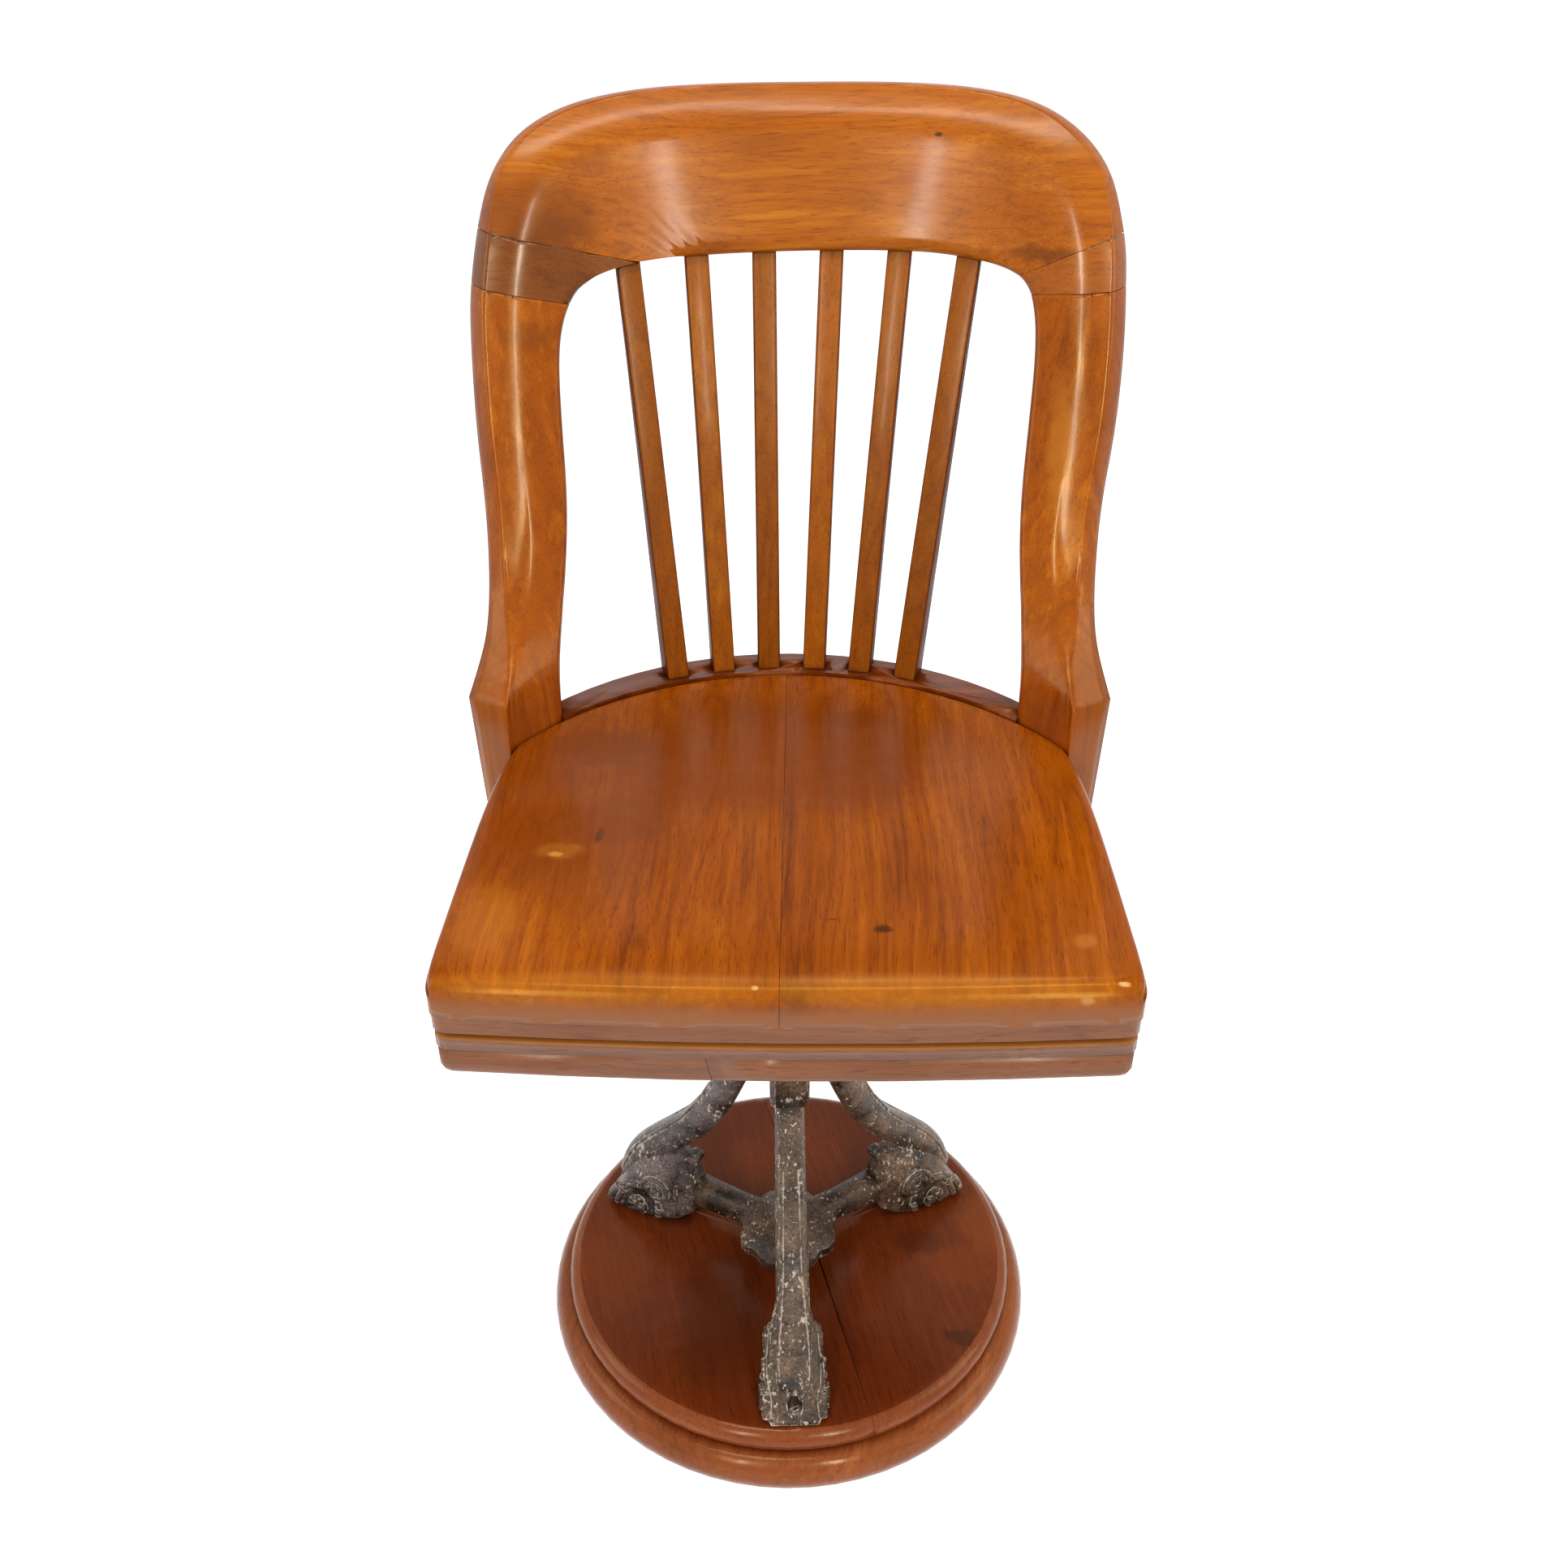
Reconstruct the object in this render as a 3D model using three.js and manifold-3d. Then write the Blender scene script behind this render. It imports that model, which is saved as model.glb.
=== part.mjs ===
// Bankers swivel chair: a wooden seat with a slatted barrel back, carried by a screw spindle
// in a three-legged cast-iron base on a round turned plinth.
// Millimetres, +Z up, the sitter faces -Y. The origin is the centre of the plinth's underside.
import * as THREE from 'three';
import { mergeVertices } from 'three/addons/utils/BufferGeometryUtils.js';
import Module from 'manifold-3d';

const wasm = await Module();
wasm.setup();

const { lerp, degToRad, smoothstep } = THREE.MathUtils;

// Fits and finishes shared by every piece
const glue_gap = 0.3;
const running_gap = 0.4;
const cut_overrun = 600;

// Round plinth: a turned lower tier with two boards glued on top
const plinth_radius = 206;
const plinth_foot_radius = 202;
const plinth_step_radius = 192;
const plinth_lower_height = 28;
const plinth_bulge_height = 10;
const plinth_top_thickness = 20;
const plinth_top_radius = 191.5;
const plinth_quirk_radius = 188.5;
const plinth_flat_radius = 185;
const plinth_seam_offset = 22.4;
const plinth_seam_turn = 14.8;

// Cast-iron legs, spread evenly round an axis a little off the plinth's middle
const leg_count = 3;
const leg_names = ['front', 'right', 'left'];
const axis_x = -0.8;
const axis_y = -6;
const iron_turn = 2.5;
const leg_reach = 174;
const leg_seat_drop = 184;
const leg_width = 26;
const leg_tenon_width = 20;
const leg_tenon_reach = 37;
const leg_shoulder_drop = 65;

// Leg spine from the shoulder under its socket to the tongue on the foot:
// shares of the reach, of the rise, and of the width for the depth and the breadth there
const leg_spine_shares = [
  [0.213, 0.7576, 0.88, 0.9],
  [0.235, 0.74, 0.91, 0.91],
  [0.272, 0.683, 0.97, 0.93],
  [0.312, 0.628, 1.01, 0.95],
  [0.357, 0.562, 1.05, 0.98],
  [0.417, 0.485, 1.08, 1],
  [0.519, 0.388, 1.1, 1.03],
  [0.647, 0.31, 1.1, 1.06],
  [0.782, 0.24, 1.02, 1.08],
  [0.865, 0.175, 0.94, 1.06],
  [0.912, 0.1, 0.72, 1],
];
const leg_section_sides = 12;
const leg_section_squareness_share = 0.72;

// Foot: a carved mass from the spider's arm out to the toe
const foot_width = 46;
const foot_height = 78;
const foot_inner_reach = 88;
const foot_pad_thickness = 10;
const foot_scroll_radius = 16;
const foot_scroll_proud = 2.5;
const foot_ear_radius = 6;

// Foot stations: shares of the length from the inner face to the toe, of the width,
// of the height at which the underside starts, and of the height of the top
const foot_station_shares = [
  [0, 0.56, 0.2, 0.66],
  [0.1, 0.63, 0.11, 0.93],
  [0.21, 0.72, 0, 1],
  [0.4, 0.87, 0, 0.93],
  [0.6, 0.98, 0, 0.76],
  [0.76, 1, 0, 0.55],
  [0.86, 0.97, 0, 0.32],
  [0.93, 0.92, 0, 0.2],
  [1, 0.78, 0, 0.08],
];
// Foot section, from the middle of the underside up one cheek: shares of the half width and of the height
const foot_cheek_shares = [[1.05, 0], [1.05, 0.09], [0.98, 0.13], [1, 0.5], [0.88, 0.8], [0.5, 0.96]];

// Spider that ties the three feet, with a scalloped rosette in the middle
const spider_height = 80;
const spider_arm_width = 24;
const rosette_radius = 43;
const rosette_lobes = 8;
const rosette_lobe_depth = 5;
const rosette_thickness = 26;
// Rosette levels: shares of its thickness and of its radius
const rosette_level_shares = [[0, 0.86], [0.16, 1], [0.5, 1], [0.78, 0.78], [0.84, 0.4], [1, 0.26]];
// Arm stations: shares of the arm's length and of its width for the width and the height
const arm_station_shares = [[0, 1, 1.12], [0.35, 0.95, 1.08], [0.7, 1.02, 1.12], [1, 1.1, 1.2]];

// Hub: a barrel with three sockets that take the tops of the legs
const hub_radius = 24;
const hub_height = 116;
const hub_bore_radius = 15;
const hub_flange_radius = 31;
const hub_flange_thickness = 9;
const socket_wall = 5;
const socket_height = 72;
const hub_bolt_radius = 4;
const hub_bolt_head_radius = 7.5;
const hub_bolt_head_height = 5;
const hub_bolt_length = 24;
const hub_bolt_drop_share = 0.35;

// Spindle, its threaded bush and the pivot that the seat turns on
const spindle_radius = 11;
const spindle_length = 205;
const bush_flange_radius = 21;
const bush_flange_thickness = 3;
const bush_length = 92;
const collar_radius = 19;
const collar_thickness = 6.5;
const pivot_radius = 9;
const washer_thickness = 2;
const nut_flats_radius = 14;
const nut_thickness = 10;
const pivot_tip = 3.5;

// Seat iron: a boss with four ribbed arms screwed up under the seat
const iron_boss_radius = 25;
const iron_boss_height = 63;
const iron_plate_thickness = 8;
const iron_arm_width = 30;
const iron_arm_end_width = 24;
const iron_hole_x = 85;
const iron_hole_y = 92;
const iron_rib_thickness = 7;
const iron_rib_depth = 30;
const screw_radius = 2.6;
const screw_head_radius = 5.2;
const screw_head_height = 3;
const screw_length = 26;

// Seat: two scooped boards on an upper moulding, a band and a lower rail
const seat_height = 522;
const seat_thickness = 28;
const seat_half_width = 224.5;
const seat_side_taper = 15.5;
const seat_side_lean = 7.5;
const seat_side_power_share = 6.7;
const seat_front_reach = 205;
const seat_front_bow = 8;
const seat_front_round = 16;
const seat_side_round = 5;
const seat_corner_round = 9;
const seat_seam_x = -3.8;
const seat_scoop_depth = 7;
const seat_scoop_rim = 6;
const seat_scoop_run = 42;
const seat_scoop_front_run = 170;

const frame_width = 44;
const moulding_height = 12.3;
const moulding_inset = 0.8;
const groove_height = 4.2;
const groove_inset = 8;
const band_height = 9.9;
const band_inset = 1.2;
const rail_height = 21.5;
const rail_inset = 1.8;
const rail_round = 5;
const rail_scarf_x = -46;
const rail_scarf_lean = 12;
const batten_width = 46;
const batten_thickness = 25;

// Barrel back: its front face is an arc at the seat that opens and leans back with height
const back_inset = 1.5;
const arc_depth = 140.8;
const arc_rear_reach = 180;
const crease_rise = 35;
const back_rise = 421.5;
const crest_rail_width = 109.5;
const post_face_width = 47;
const lean_drop = 37;
const arc_opening_share = 0.574;
const back_lean_share = 0.3057;
const knee_rise = 130;
const back_thickness = 34;
const knee_thickness = 38;
const block_foot_thickness = 31;
const crest_thickness = 28;
const back_rack_share = 0.014;
const bow_proud = 3;
const bow_round = 4;
const edge_round = 2.5;
const arris_round = 15;

// Half of the horseshoe seen from the front, from the crease up to the middle of the crest:
// the inner edge as shares of the opening's half width and of its height over the crease
const inner_edge_shares = {
  left: [
    [0.995, 0],
    [0.985, 0.155],
    [0.972, 0.3],
    [0.972, 0.444],
    [0.988, 0.606],
    [0.997, 0.769],
    [0.982, 0.85],
    [0.953, 0.9],
    [0.923, 0.931],
    [0.884, 0.947],
    [0.82, 0.965],
    [0.72, 0.98],
    [0.562, 0.989],
    [0.341, 0.993],
    [0, 0.998],
  ],
  right: [
    [0.989, 0],
    [0.985, 0.155],
    [0.973, 0.3],
    [0.974, 0.444],
    [0.989, 0.606],
    [1.002, 0.769],
    [0.997, 0.865],
    [0.975, 0.93],
    [0.94, 0.962],
    [0.9, 0.977],
    [0.83, 0.99],
    [0.727, 0.999],
    [0.568, 1.006],
    [0.341, 1.004],
    [0, 0.998],
  ],
};
// and the outer edge as shares of the back's half width and of its height over the crease.
// The crest has worn and sunk a little more on the left
const outer_edge_shares = {
  left: [
    [0.941, 0],
    [0.921, 0.08],
    [0.938, 0.215],
    [0.958, 0.318],
    [0.983, 0.435],
    [0.999, 0.556],
    [1.005, 0.639],
    [1.002, 0.685],
    [0.993, 0.745],
    [0.977, 0.81],
    [0.95, 0.868],
    [0.88, 0.928],
    [0.744, 0.971],
    [0.493, 0.995],
    [0, 1],
  ],
  right: [
    [0.937, 0],
    [0.918, 0.08],
    [0.935, 0.215],
    [0.955, 0.318],
    [0.986, 0.435],
    [1.004, 0.556],
    [1.008, 0.639],
    [1.007, 0.685],
    [1.004, 0.745],
    [0.987, 0.81],
    [0.958, 0.872],
    [0.886, 0.93],
    [0.745, 0.979],
    [0.493, 1.001],
    [0, 1],
  ],
};
// Glue joints as stations on the inner and on the outer edge
const post_joint_shares = [7, 7];
const right_crest_joint_shares = [8.45, 8.45];
const left_crest_joint_shares = [11.35, 8.5];

// Six slats between the bow and the crest, spread wider at the top
const slat_count = 6;
const slat_width = 18;
const slat_depth = 10;
const slat_foot_pitch = 36.1;
const slat_top_pitch = 50.8;
const slat_setback = 5;
const slat_tenon = 12;
const slat_round = 1.5;

const dowel_radius = 5;
const dowel_length = 38;
const dowel_insertion = 14;
// Where it enters, as a share of the way from the rail's inner side to its outer side
const dowel_place_share = 0.71;

// Heights that follow from the sizes above
const plinth_height = plinth_lower_height + plinth_top_thickness;
const leg_top = seat_height - leg_seat_drop;
const leg_rise = leg_top - plinth_height;
const shoulder_height = leg_top - leg_shoulder_drop;
const socket_bottom = shoulder_height + glue_gap;
const socket_top = socket_bottom + socket_height;
const hub_bottom = socket_bottom + socket_wall * 2;
const hub_top = hub_bottom + hub_height;
const bush_top = hub_top + glue_gap + bush_flange_thickness;
const collar_bottom = bush_top + glue_gap;
const collar_top = collar_bottom + collar_thickness;
const iron_bottom = collar_top + washer_thickness + glue_gap * 2;
const seat_underside = seat_height - seat_thickness;
const crease_height = seat_height + crease_rise;
const back_height = seat_height + back_rise;
const opening_height = back_height - crest_rail_width;
const bow_height = seat_height + bow_proud;
const lean_height = crease_height - lean_drop;
// The back spans the seat, so its arc follows from its own half width and the arc's depth
const back_half_width = seat_half_width - back_inset;
const opening_half_width = back_half_width - post_face_width;
const arc_radius = (back_half_width ** 2 + arc_depth ** 2) / (2 * arc_depth);
const arc_centre_y = arc_rear_reach - arc_radius;
const batten_bottom = seat_underside - glue_gap - batten_thickness;
const iron_top = batten_bottom - glue_gap;
const moulding_bottom = seat_underside - glue_gap - moulding_height;
const groove_bottom = moulding_bottom - groove_height;
const band_top = groove_bottom - glue_gap;
const band_bottom = band_top - band_height;
const rail_top = band_bottom - glue_gap;
const rail_bottom = rail_top - rail_height;
const washer_top = iron_top + glue_gap + washer_thickness;
const nut_bottom = washer_top + glue_gap;
const spindle_top = nut_bottom + nut_thickness + pivot_tip;

// Finishes
const seatWood = { color: 0x9a4a14, roughness: 0.32, metalness: 0 };
const railWood = { color: 0x8a4a2c, roughness: 0.38, metalness: 0 };
const plinthWood = { color: 0x5e2310, roughness: 0.35, metalness: 0 };
const castIron = { color: 0x45403a, roughness: 0.62, metalness: 0.55 };
const steel = { color: 0x8c8a86, roughness: 0.4, metalness: 0.9 };
const brass = { color: 0xa8843c, roughness: 0.4, metalness: 0.9 };

const chair = new THREE.Group();

function addPiece(name, geometry, finish, parent = chair) {
  const mesh = new THREE.Mesh(geometry, new THREE.MeshStandardMaterial(finish));
  mesh.name = name;
  parent.add(mesh);
  return mesh;
}

// Solid and surface conversions for cutting and joining
function toSolid(geometry) {
  const bare = geometry.clone();
  bare.deleteAttribute('normal');
  bare.deleteAttribute('uv');
  const welded = mergeVertices(bare);
  const vertProperties = new Float32Array(welded.attributes.position.array);
  const triVerts = new Uint32Array(welded.index.array);
  return new wasm.Manifold(new wasm.Mesh({ numProp: 3, vertProperties, triVerts }));
}

function toGeometry(solid) {
  const mesh = solid.getMesh();
  const geometry = new THREE.BufferGeometry();
  geometry.setAttribute('position', new THREE.BufferAttribute(mesh.vertProperties, 3));
  geometry.setIndex(new THREE.BufferAttribute(mesh.triVerts, 1));
  return geometry;
}

function joined(...geometries) {
  const solids = geometries.map(toSolid);
  return toGeometry(solids.reduce((whole, solid) => whole.add(solid)));
}

function cut(geometry, ...tools) {
  const solids = tools.map(toSolid);
  return toGeometry(solids.reduce((whole, solid) => whole.subtract(solid), toSolid(geometry)));
}

// Keeps the part of a solid behind a plane, given by a point on it and its outward normal
function keepBehind(geometry, point, normal) {
  const block = new THREE.BoxGeometry(cut_overrun * 2, cut_overrun * 2, cut_overrun * 2);
  block.translate(0, 0, cut_overrun);
  block.applyQuaternion(new THREE.Quaternion().setFromUnitVectors(new THREE.Vector3(0, 0, 1), normal));
  block.translate(point.x, point.y, point.z);
  return cut(geometry, block);
}

// A closed solid skinned over rings of points, with a flat cap on each end
function loft(rings) {
  const count = rings[0].length;
  const positions = rings.flat().flatMap((point) => [point.x, point.y, point.z]);
  let index = [];
  for (let ring = 0; ring < rings.length - 1; ring += 1) {
    for (let side = 0; side < count; side += 1) {
      const here = ring * count + side;
      const next = ring * count + ((side + 1) % count);
      index.push(here, next, next + count, here, next + count, here + count);
    }
  }
  const startCap = capTriangles(rings[0]);
  const endCap = capTriangles(rings[rings.length - 1]);
  const last = (rings.length - 1) * count;
  startCap.forEach(([a, b, c]) => index.push(c, b, a));
  endCap.forEach(([a, b, c]) => index.push(last + a, last + b, last + c));
  if (enclosedVolume(positions, index) < 0) {
    index = index.reverse();
  }
  const geometry = new THREE.BufferGeometry();
  geometry.setAttribute('position', new THREE.Float32BufferAttribute(positions, 3));
  geometry.setIndex(index);
  return geometry;
}

// Triangles over one ring, turned the way the ring itself runs
function capTriangles(ring) {
  const middle = new THREE.Vector3();
  const normal = new THREE.Vector3();
  ring.forEach((point) => middle.addScaledVector(point, 1 / ring.length));
  ring.forEach((point, side) => {
    const next = ring[(side + 1) % ring.length];
    normal.add(point.clone().sub(middle).cross(next.clone().sub(middle)));
  });
  normal.normalize();
  const across = ring[0].clone().sub(middle).projectOnPlane(normal).normalize();
  const up = normal.clone().cross(across);
  const flat = ring.map((point) => {
    const arm = point.clone().sub(middle);
    return new THREE.Vector2(arm.dot(across), arm.dot(up));
  });
  return THREE.ShapeUtils.triangulateShape(flat, []);
}

function enclosedVolume(positions, index) {
  const corner = (n) => new THREE.Vector3().fromArray(positions, index[n] * 3);
  let volume = 0;
  for (let n = 0; n < index.length; n += 3) {
    volume += corner(n).dot(corner(n + 1).cross(corner(n + 2)));
  }
  return volume;
}

// A prism whose plan outline may change from level to level
function prism(levels) {
  return loft(levels.map(({ z, plan }) => plan.map((point) => new THREE.Vector3(point.x, point.y, z))));
}

// A turned piece from [radius, height] pairs, stood upright on +Z
function turned(profile, segments) {
  const outline = profile.map(([radius, height]) => new THREE.Vector2(radius, height));
  if (THREE.ShapeUtils.area(outline) < 0) {
    outline.reverse();
  }
  const geometry = new THREE.LatheGeometry(outline, segments);
  geometry.rotateX(Math.PI / 2);
  return geometry;
}

// A plain upright cylinder standing on a height
function rod(radius, bottom, top, segments) {
  return turned([[0, bottom], [radius, bottom], [radius, top], [0, top]], segments);
}

// A ring with a bore, standing on a height
function ring(inner, outer, bottom, top, segments) {
  return turned([[inner, bottom], [outer, bottom], [outer, top], [inner, top], [inner, bottom]], segments);
}

function steps(count) {
  return Array.from({ length: count + 1 }, (_, n) => n / count);
}

// Plinth
const plinth_sides = 64;

function quarterRound(centreRadius, centreHeight, radialSize, upSize, count) {
  return steps(count).map((share) => {
    const turn = share * Math.PI / 2;
    return [centreRadius + radialSize * Math.cos(turn), centreHeight + upSize * Math.sin(turn)];
  });
}

const plinthLower = turned([
  [0, 0],
  [plinth_foot_radius, 0],
  [lerp(plinth_foot_radius, plinth_radius, 0.75), plinth_bulge_height * 0.4],
  ...quarterRound(plinth_step_radius, plinth_bulge_height,
    plinth_radius - plinth_step_radius, plinth_lower_height - plinth_bulge_height, 5),
  [0, plinth_lower_height],
], plinth_sides);

const plinthUpper = turned([
  [0, plinth_lower_height + glue_gap],
  [plinth_quirk_radius, plinth_lower_height + glue_gap],
  [plinth_top_radius - (plinth_top_radius - plinth_quirk_radius) * 0.2, plinth_lower_height + plinth_top_thickness * 0.25],
  ...quarterRound(plinth_flat_radius, plinth_lower_height + plinth_top_thickness * 0.5,
    plinth_top_radius - plinth_flat_radius, plinth_top_thickness * 0.5, 4),
  [0, plinth_height],
], plinth_sides);

// The front foot screws and the other two go down through the pads into the boards
function legAzimuth(leg) {
  return degToRad(-90 + iron_turn + leg * 360 / leg_count);
}

const foot_length = leg_reach - foot_inner_reach;
const foot_screw_reach = leg_reach - foot_length * 0.08;
const foot_screw_radius = 3;
const foot_screw_head_radius = 5;
const foot_screw_head_height = 3;
const foot_screw_length = 24;
const pad_top = plinth_height + glue_gap + foot_pad_thickness;

function footScrew(clearance) {
  const head_bottom = pad_top + glue_gap - clearance;
  const geometry = turned([
    [0, head_bottom + foot_screw_head_height + clearance],
    [foot_screw_head_radius * 0.6, head_bottom + foot_screw_head_height + clearance],
    [foot_screw_head_radius + clearance, head_bottom + foot_screw_head_height * 0.4],
    [foot_screw_head_radius + clearance, head_bottom],
    [foot_screw_radius + clearance, head_bottom],
    [foot_screw_radius + clearance, pad_top - foot_screw_length - clearance],
    [0, pad_top - foot_screw_length - clearance],
  ], 10);
  geometry.translate(foot_screw_reach, 0, 0);
  return geometry;
}

function turnedToLeg(geometry, leg) {
  return geometry.clone().rotateZ(legAzimuth(leg)).translate(axis_x, axis_y, 0);
}

function toAxis(geometry) {
  return geometry.translate(axis_x, axis_y, 0);
}

const screwHoles = leg_names.map((_, leg) => turnedToLeg(footScrew(glue_gap), leg));
const seam_normal = new THREE.Vector3(Math.cos(degToRad(plinth_seam_turn)), Math.sin(degToRad(plinth_seam_turn)), 0);
const seamPoint = (shift) => seam_normal.clone().multiplyScalar(plinth_seam_offset + shift);
const plinthBoards = cut(plinthUpper, ...screwHoles);

addPiece('plinth_lower_disc', plinthLower, plinthWood);
addPiece('plinth_top_board_left',
  keepBehind(plinthBoards, seamPoint(-glue_gap / 2), seam_normal), plinthWood);
addPiece('plinth_top_board_right',
  keepBehind(plinthBoards, seamPoint(glue_gap / 2), seam_normal.clone().negate()), plinthWood);

// Legs, each drawn along +X and then turned to its place
function roundedSection(depth, width, sides) {
  const power = leg_section_squareness_share;
  return steps(sides).slice(0, -1).map((share) => {
    const turn = share * Math.PI * 2;
    const bulge = (value) => Math.sign(value) * Math.abs(value) ** power;
    return new THREE.Vector2(bulge(Math.cos(turn)) * depth / 2, bulge(Math.sin(turn)) * width / 2);
  });
}

function legShaft() {
  const stations = leg_spine_shares.map(([reach, height, depth, width]) => ({
    middle: new THREE.Vector3(reach * leg_reach, 0, plinth_height + height * leg_rise),
    depth: depth * leg_width,
    width: width * leg_width,
  }));
  stations[0].middle.z = shoulder_height;
  stations[0].middle.x = leg_tenon_reach;
  const spine = new THREE.CatmullRomCurve3(stations.map(({ middle }) => middle));
  const last = stations.length - 1;
  return loft(stations.map(({ middle, depth, width }, n) => {
    const along = n === 0 ? new THREE.Vector3(0, 0, -1) : spine.getTangent(n / last);
    const outward = new THREE.Vector3(-along.z, 0, along.x);
    return roundedSection(depth, width, leg_section_sides).map(({ x, y }) =>
      middle.clone().addScaledVector(outward, x).setY(y));
  }));
}

function socketTenon(clearance) {
  const tenon = new THREE.BoxGeometry(
    leg_tenon_width + clearance * 2, leg_tenon_width + clearance * 2, leg_shoulder_drop + clearance + glue_gap);
  tenon.translate(leg_tenon_reach, 0, leg_top + clearance - (leg_shoulder_drop + clearance + glue_gap) / 2);
  return tenon;
}

function footMass() {
  const sole = plinth_height + glue_gap;
  return loft(foot_station_shares.map(([along, width, start, top]) => {
    const x = foot_inner_reach + along * foot_length;
    const bottom = sole + start * foot_height;
    const rise = (top - start) * foot_height;
    const half = width * foot_width / 2;
    const cheek = foot_cheek_shares.map(([out, up]) => [out * half, bottom + up * rise]);
    const mirrored = cheek.map(([out, z]) => [-out, z]).reverse();
    return [...cheek, [0, bottom + rise], ...mirrored].map(([y, z]) => new THREE.Vector3(x, y, z));
  }));
}

// A rolled ear under the leg, over the spider's arm
function footEar() {
  const half = foot_width * 0.16;
  const ear = rod(foot_ear_radius, -half, half, 10);
  ear.rotateX(Math.PI / 2);
  ear.translate(foot_inner_reach + foot_ear_radius * 0.7, 0, plinth_height + foot_height * 0.9);
  return ear;
}

// Two round scroll bosses, one on each cheek of the foot
function footScroll() {
  const half = foot_width * 0.43 + foot_scroll_proud;
  const scroll = turned([
    [0, -half],
    [foot_scroll_radius * 0.55, -half],
    [foot_scroll_radius, foot_scroll_proud * 1.4 - half],
    [foot_scroll_radius, half - foot_scroll_proud * 1.4],
    [foot_scroll_radius * 0.55, half],
    [0, half],
  ], 14);
  scroll.rotateX(Math.PI / 2);
  scroll.translate(foot_inner_reach + foot_length * 0.38, 0, plinth_height + foot_height * 0.44);
  return scroll;
}

// A round flat on the sloping toe lets the screw head sit on the pad
function toeSeat() {
  const flat = rod(foot_screw_head_radius * 1.2, pad_top, plinth_height + foot_height * 0.33, 12);
  flat.translate(foot_screw_reach, 0, 0);
  return flat;
}

function hubBolt(clearance, height) {
  const head_face = leg_tenon_reach + leg_tenon_width / 2 + glue_gap + socket_wall + glue_gap;
  const bolt = turned([
    [0, 0],
    [hub_bolt_head_radius * 0.7, 0],
    [hub_bolt_head_radius + clearance, hub_bolt_head_height * 0.35],
    [hub_bolt_head_radius + clearance, hub_bolt_head_height],
    [hub_bolt_radius + clearance, hub_bolt_head_height],
    [hub_bolt_radius + clearance, hub_bolt_length + clearance],
    [0, hub_bolt_length + clearance],
  ], 10);
  bolt.rotateY(-Math.PI / 2);
  bolt.translate(head_face + hub_bolt_head_height, 0, height);
  return bolt;
}

const hub_bolt_height = lerp(socket_top, socket_bottom, hub_bolt_drop_share);
const legBlank = joined(legShaft(), socketTenon(0), footMass(), footEar(), footScroll());
const leg = cut(legBlank, toeSeat(), footScrew(glue_gap), hubBolt(glue_gap, hub_bolt_height));

leg_names.forEach((name, n) => {
  addPiece(`leg_${name}`, turnedToLeg(leg, n), castIron);
  addPiece(`foot_screw_${name}`, turnedToLeg(footScrew(0), n), steel);
});

// Spider
function scallopedPlan(radius, depth) {
  const sides = rosette_lobes * 4;
  return steps(sides).slice(0, -1).map((share) => {
    const turn = share * Math.PI * 2;
    const reach = radius - depth * (1 - Math.abs(Math.sin(turn * rosette_lobes / 2)));
    return new THREE.Vector2(reach * Math.cos(turn), reach * Math.sin(turn));
  });
}

const rosette = prism(rosette_level_shares.map(([up, out]) => ({
  z: spider_height + (up - 0.5) * rosette_thickness,
  plan: scallopedPlan(rosette_radius * out, rosette_lobe_depth * out),
})));

function spiderArm() {
  const start = rosette_radius * 0.6;
  const end = foot_inner_reach - glue_gap;
  return loft(arm_station_shares.map(([along, width, height]) =>
    roundedSection(height * spider_arm_width, width * spider_arm_width, 12).map(({ x, y }) =>
      new THREE.Vector3(lerp(start, end, along), y, spider_height + x))));
}

addPiece('leg_spider',
  joined(toAxis(rosette), ...leg_names.map((_, n) => turnedToLeg(spiderArm(), n))), castIron);

// Hub and its bolts
function legSocket() {
  const half = leg_tenon_width / 2 + glue_gap + socket_wall;
  const corner = socket_wall * 0.8;
  const inner = hub_bore_radius + socket_wall;
  const plan = [
    [inner, -half],
    [leg_tenon_reach + half - corner, -half],
    [leg_tenon_reach + half, -half + corner],
    [leg_tenon_reach + half, half - corner],
    [leg_tenon_reach + half - corner, half],
    [inner, half],
  ].map(([x, y]) => new THREE.Vector2(x, y));
  const shrunk = plan.map(({ x, y }) => new THREE.Vector2(
    leg_tenon_reach + (x - leg_tenon_reach) * 0.86, y * 0.86));
  return prism([
    { z: socket_bottom, plan },
    { z: socket_top, plan },
    { z: socket_top + socket_wall, plan: shrunk },
  ]);
}

const hub_sides = 28;
const hubBarrel = turned([
  [0, hub_bottom],
  [hub_radius, hub_bottom],
  [hub_radius, hub_top - hub_flange_thickness * 2],
  [hub_flange_radius, hub_top - hub_flange_thickness],
  [hub_flange_radius, hub_top],
  [0, hub_top],
], hub_sides);
const hubBlank = joined(toAxis(hubBarrel), ...leg_names.map((_, n) => turnedToLeg(legSocket(), n)));
addPiece('hub_socket', cut(
  hubBlank,
  toAxis(rod(hub_bore_radius, hub_bottom - socket_wall * 3, hub_top + socket_wall, hub_sides)),
  ...leg_names.map((_, n) => turnedToLeg(socketTenon(glue_gap), n)),
  ...leg_names.map((_, n) => turnedToLeg(hubBolt(glue_gap, hub_bolt_height), n)),
), castIron);
leg_names.forEach((name, n) => {
  addPiece(`hub_bolt_${name}`, turnedToLeg(hubBolt(0, hub_bolt_height), n), steel);
});

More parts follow.
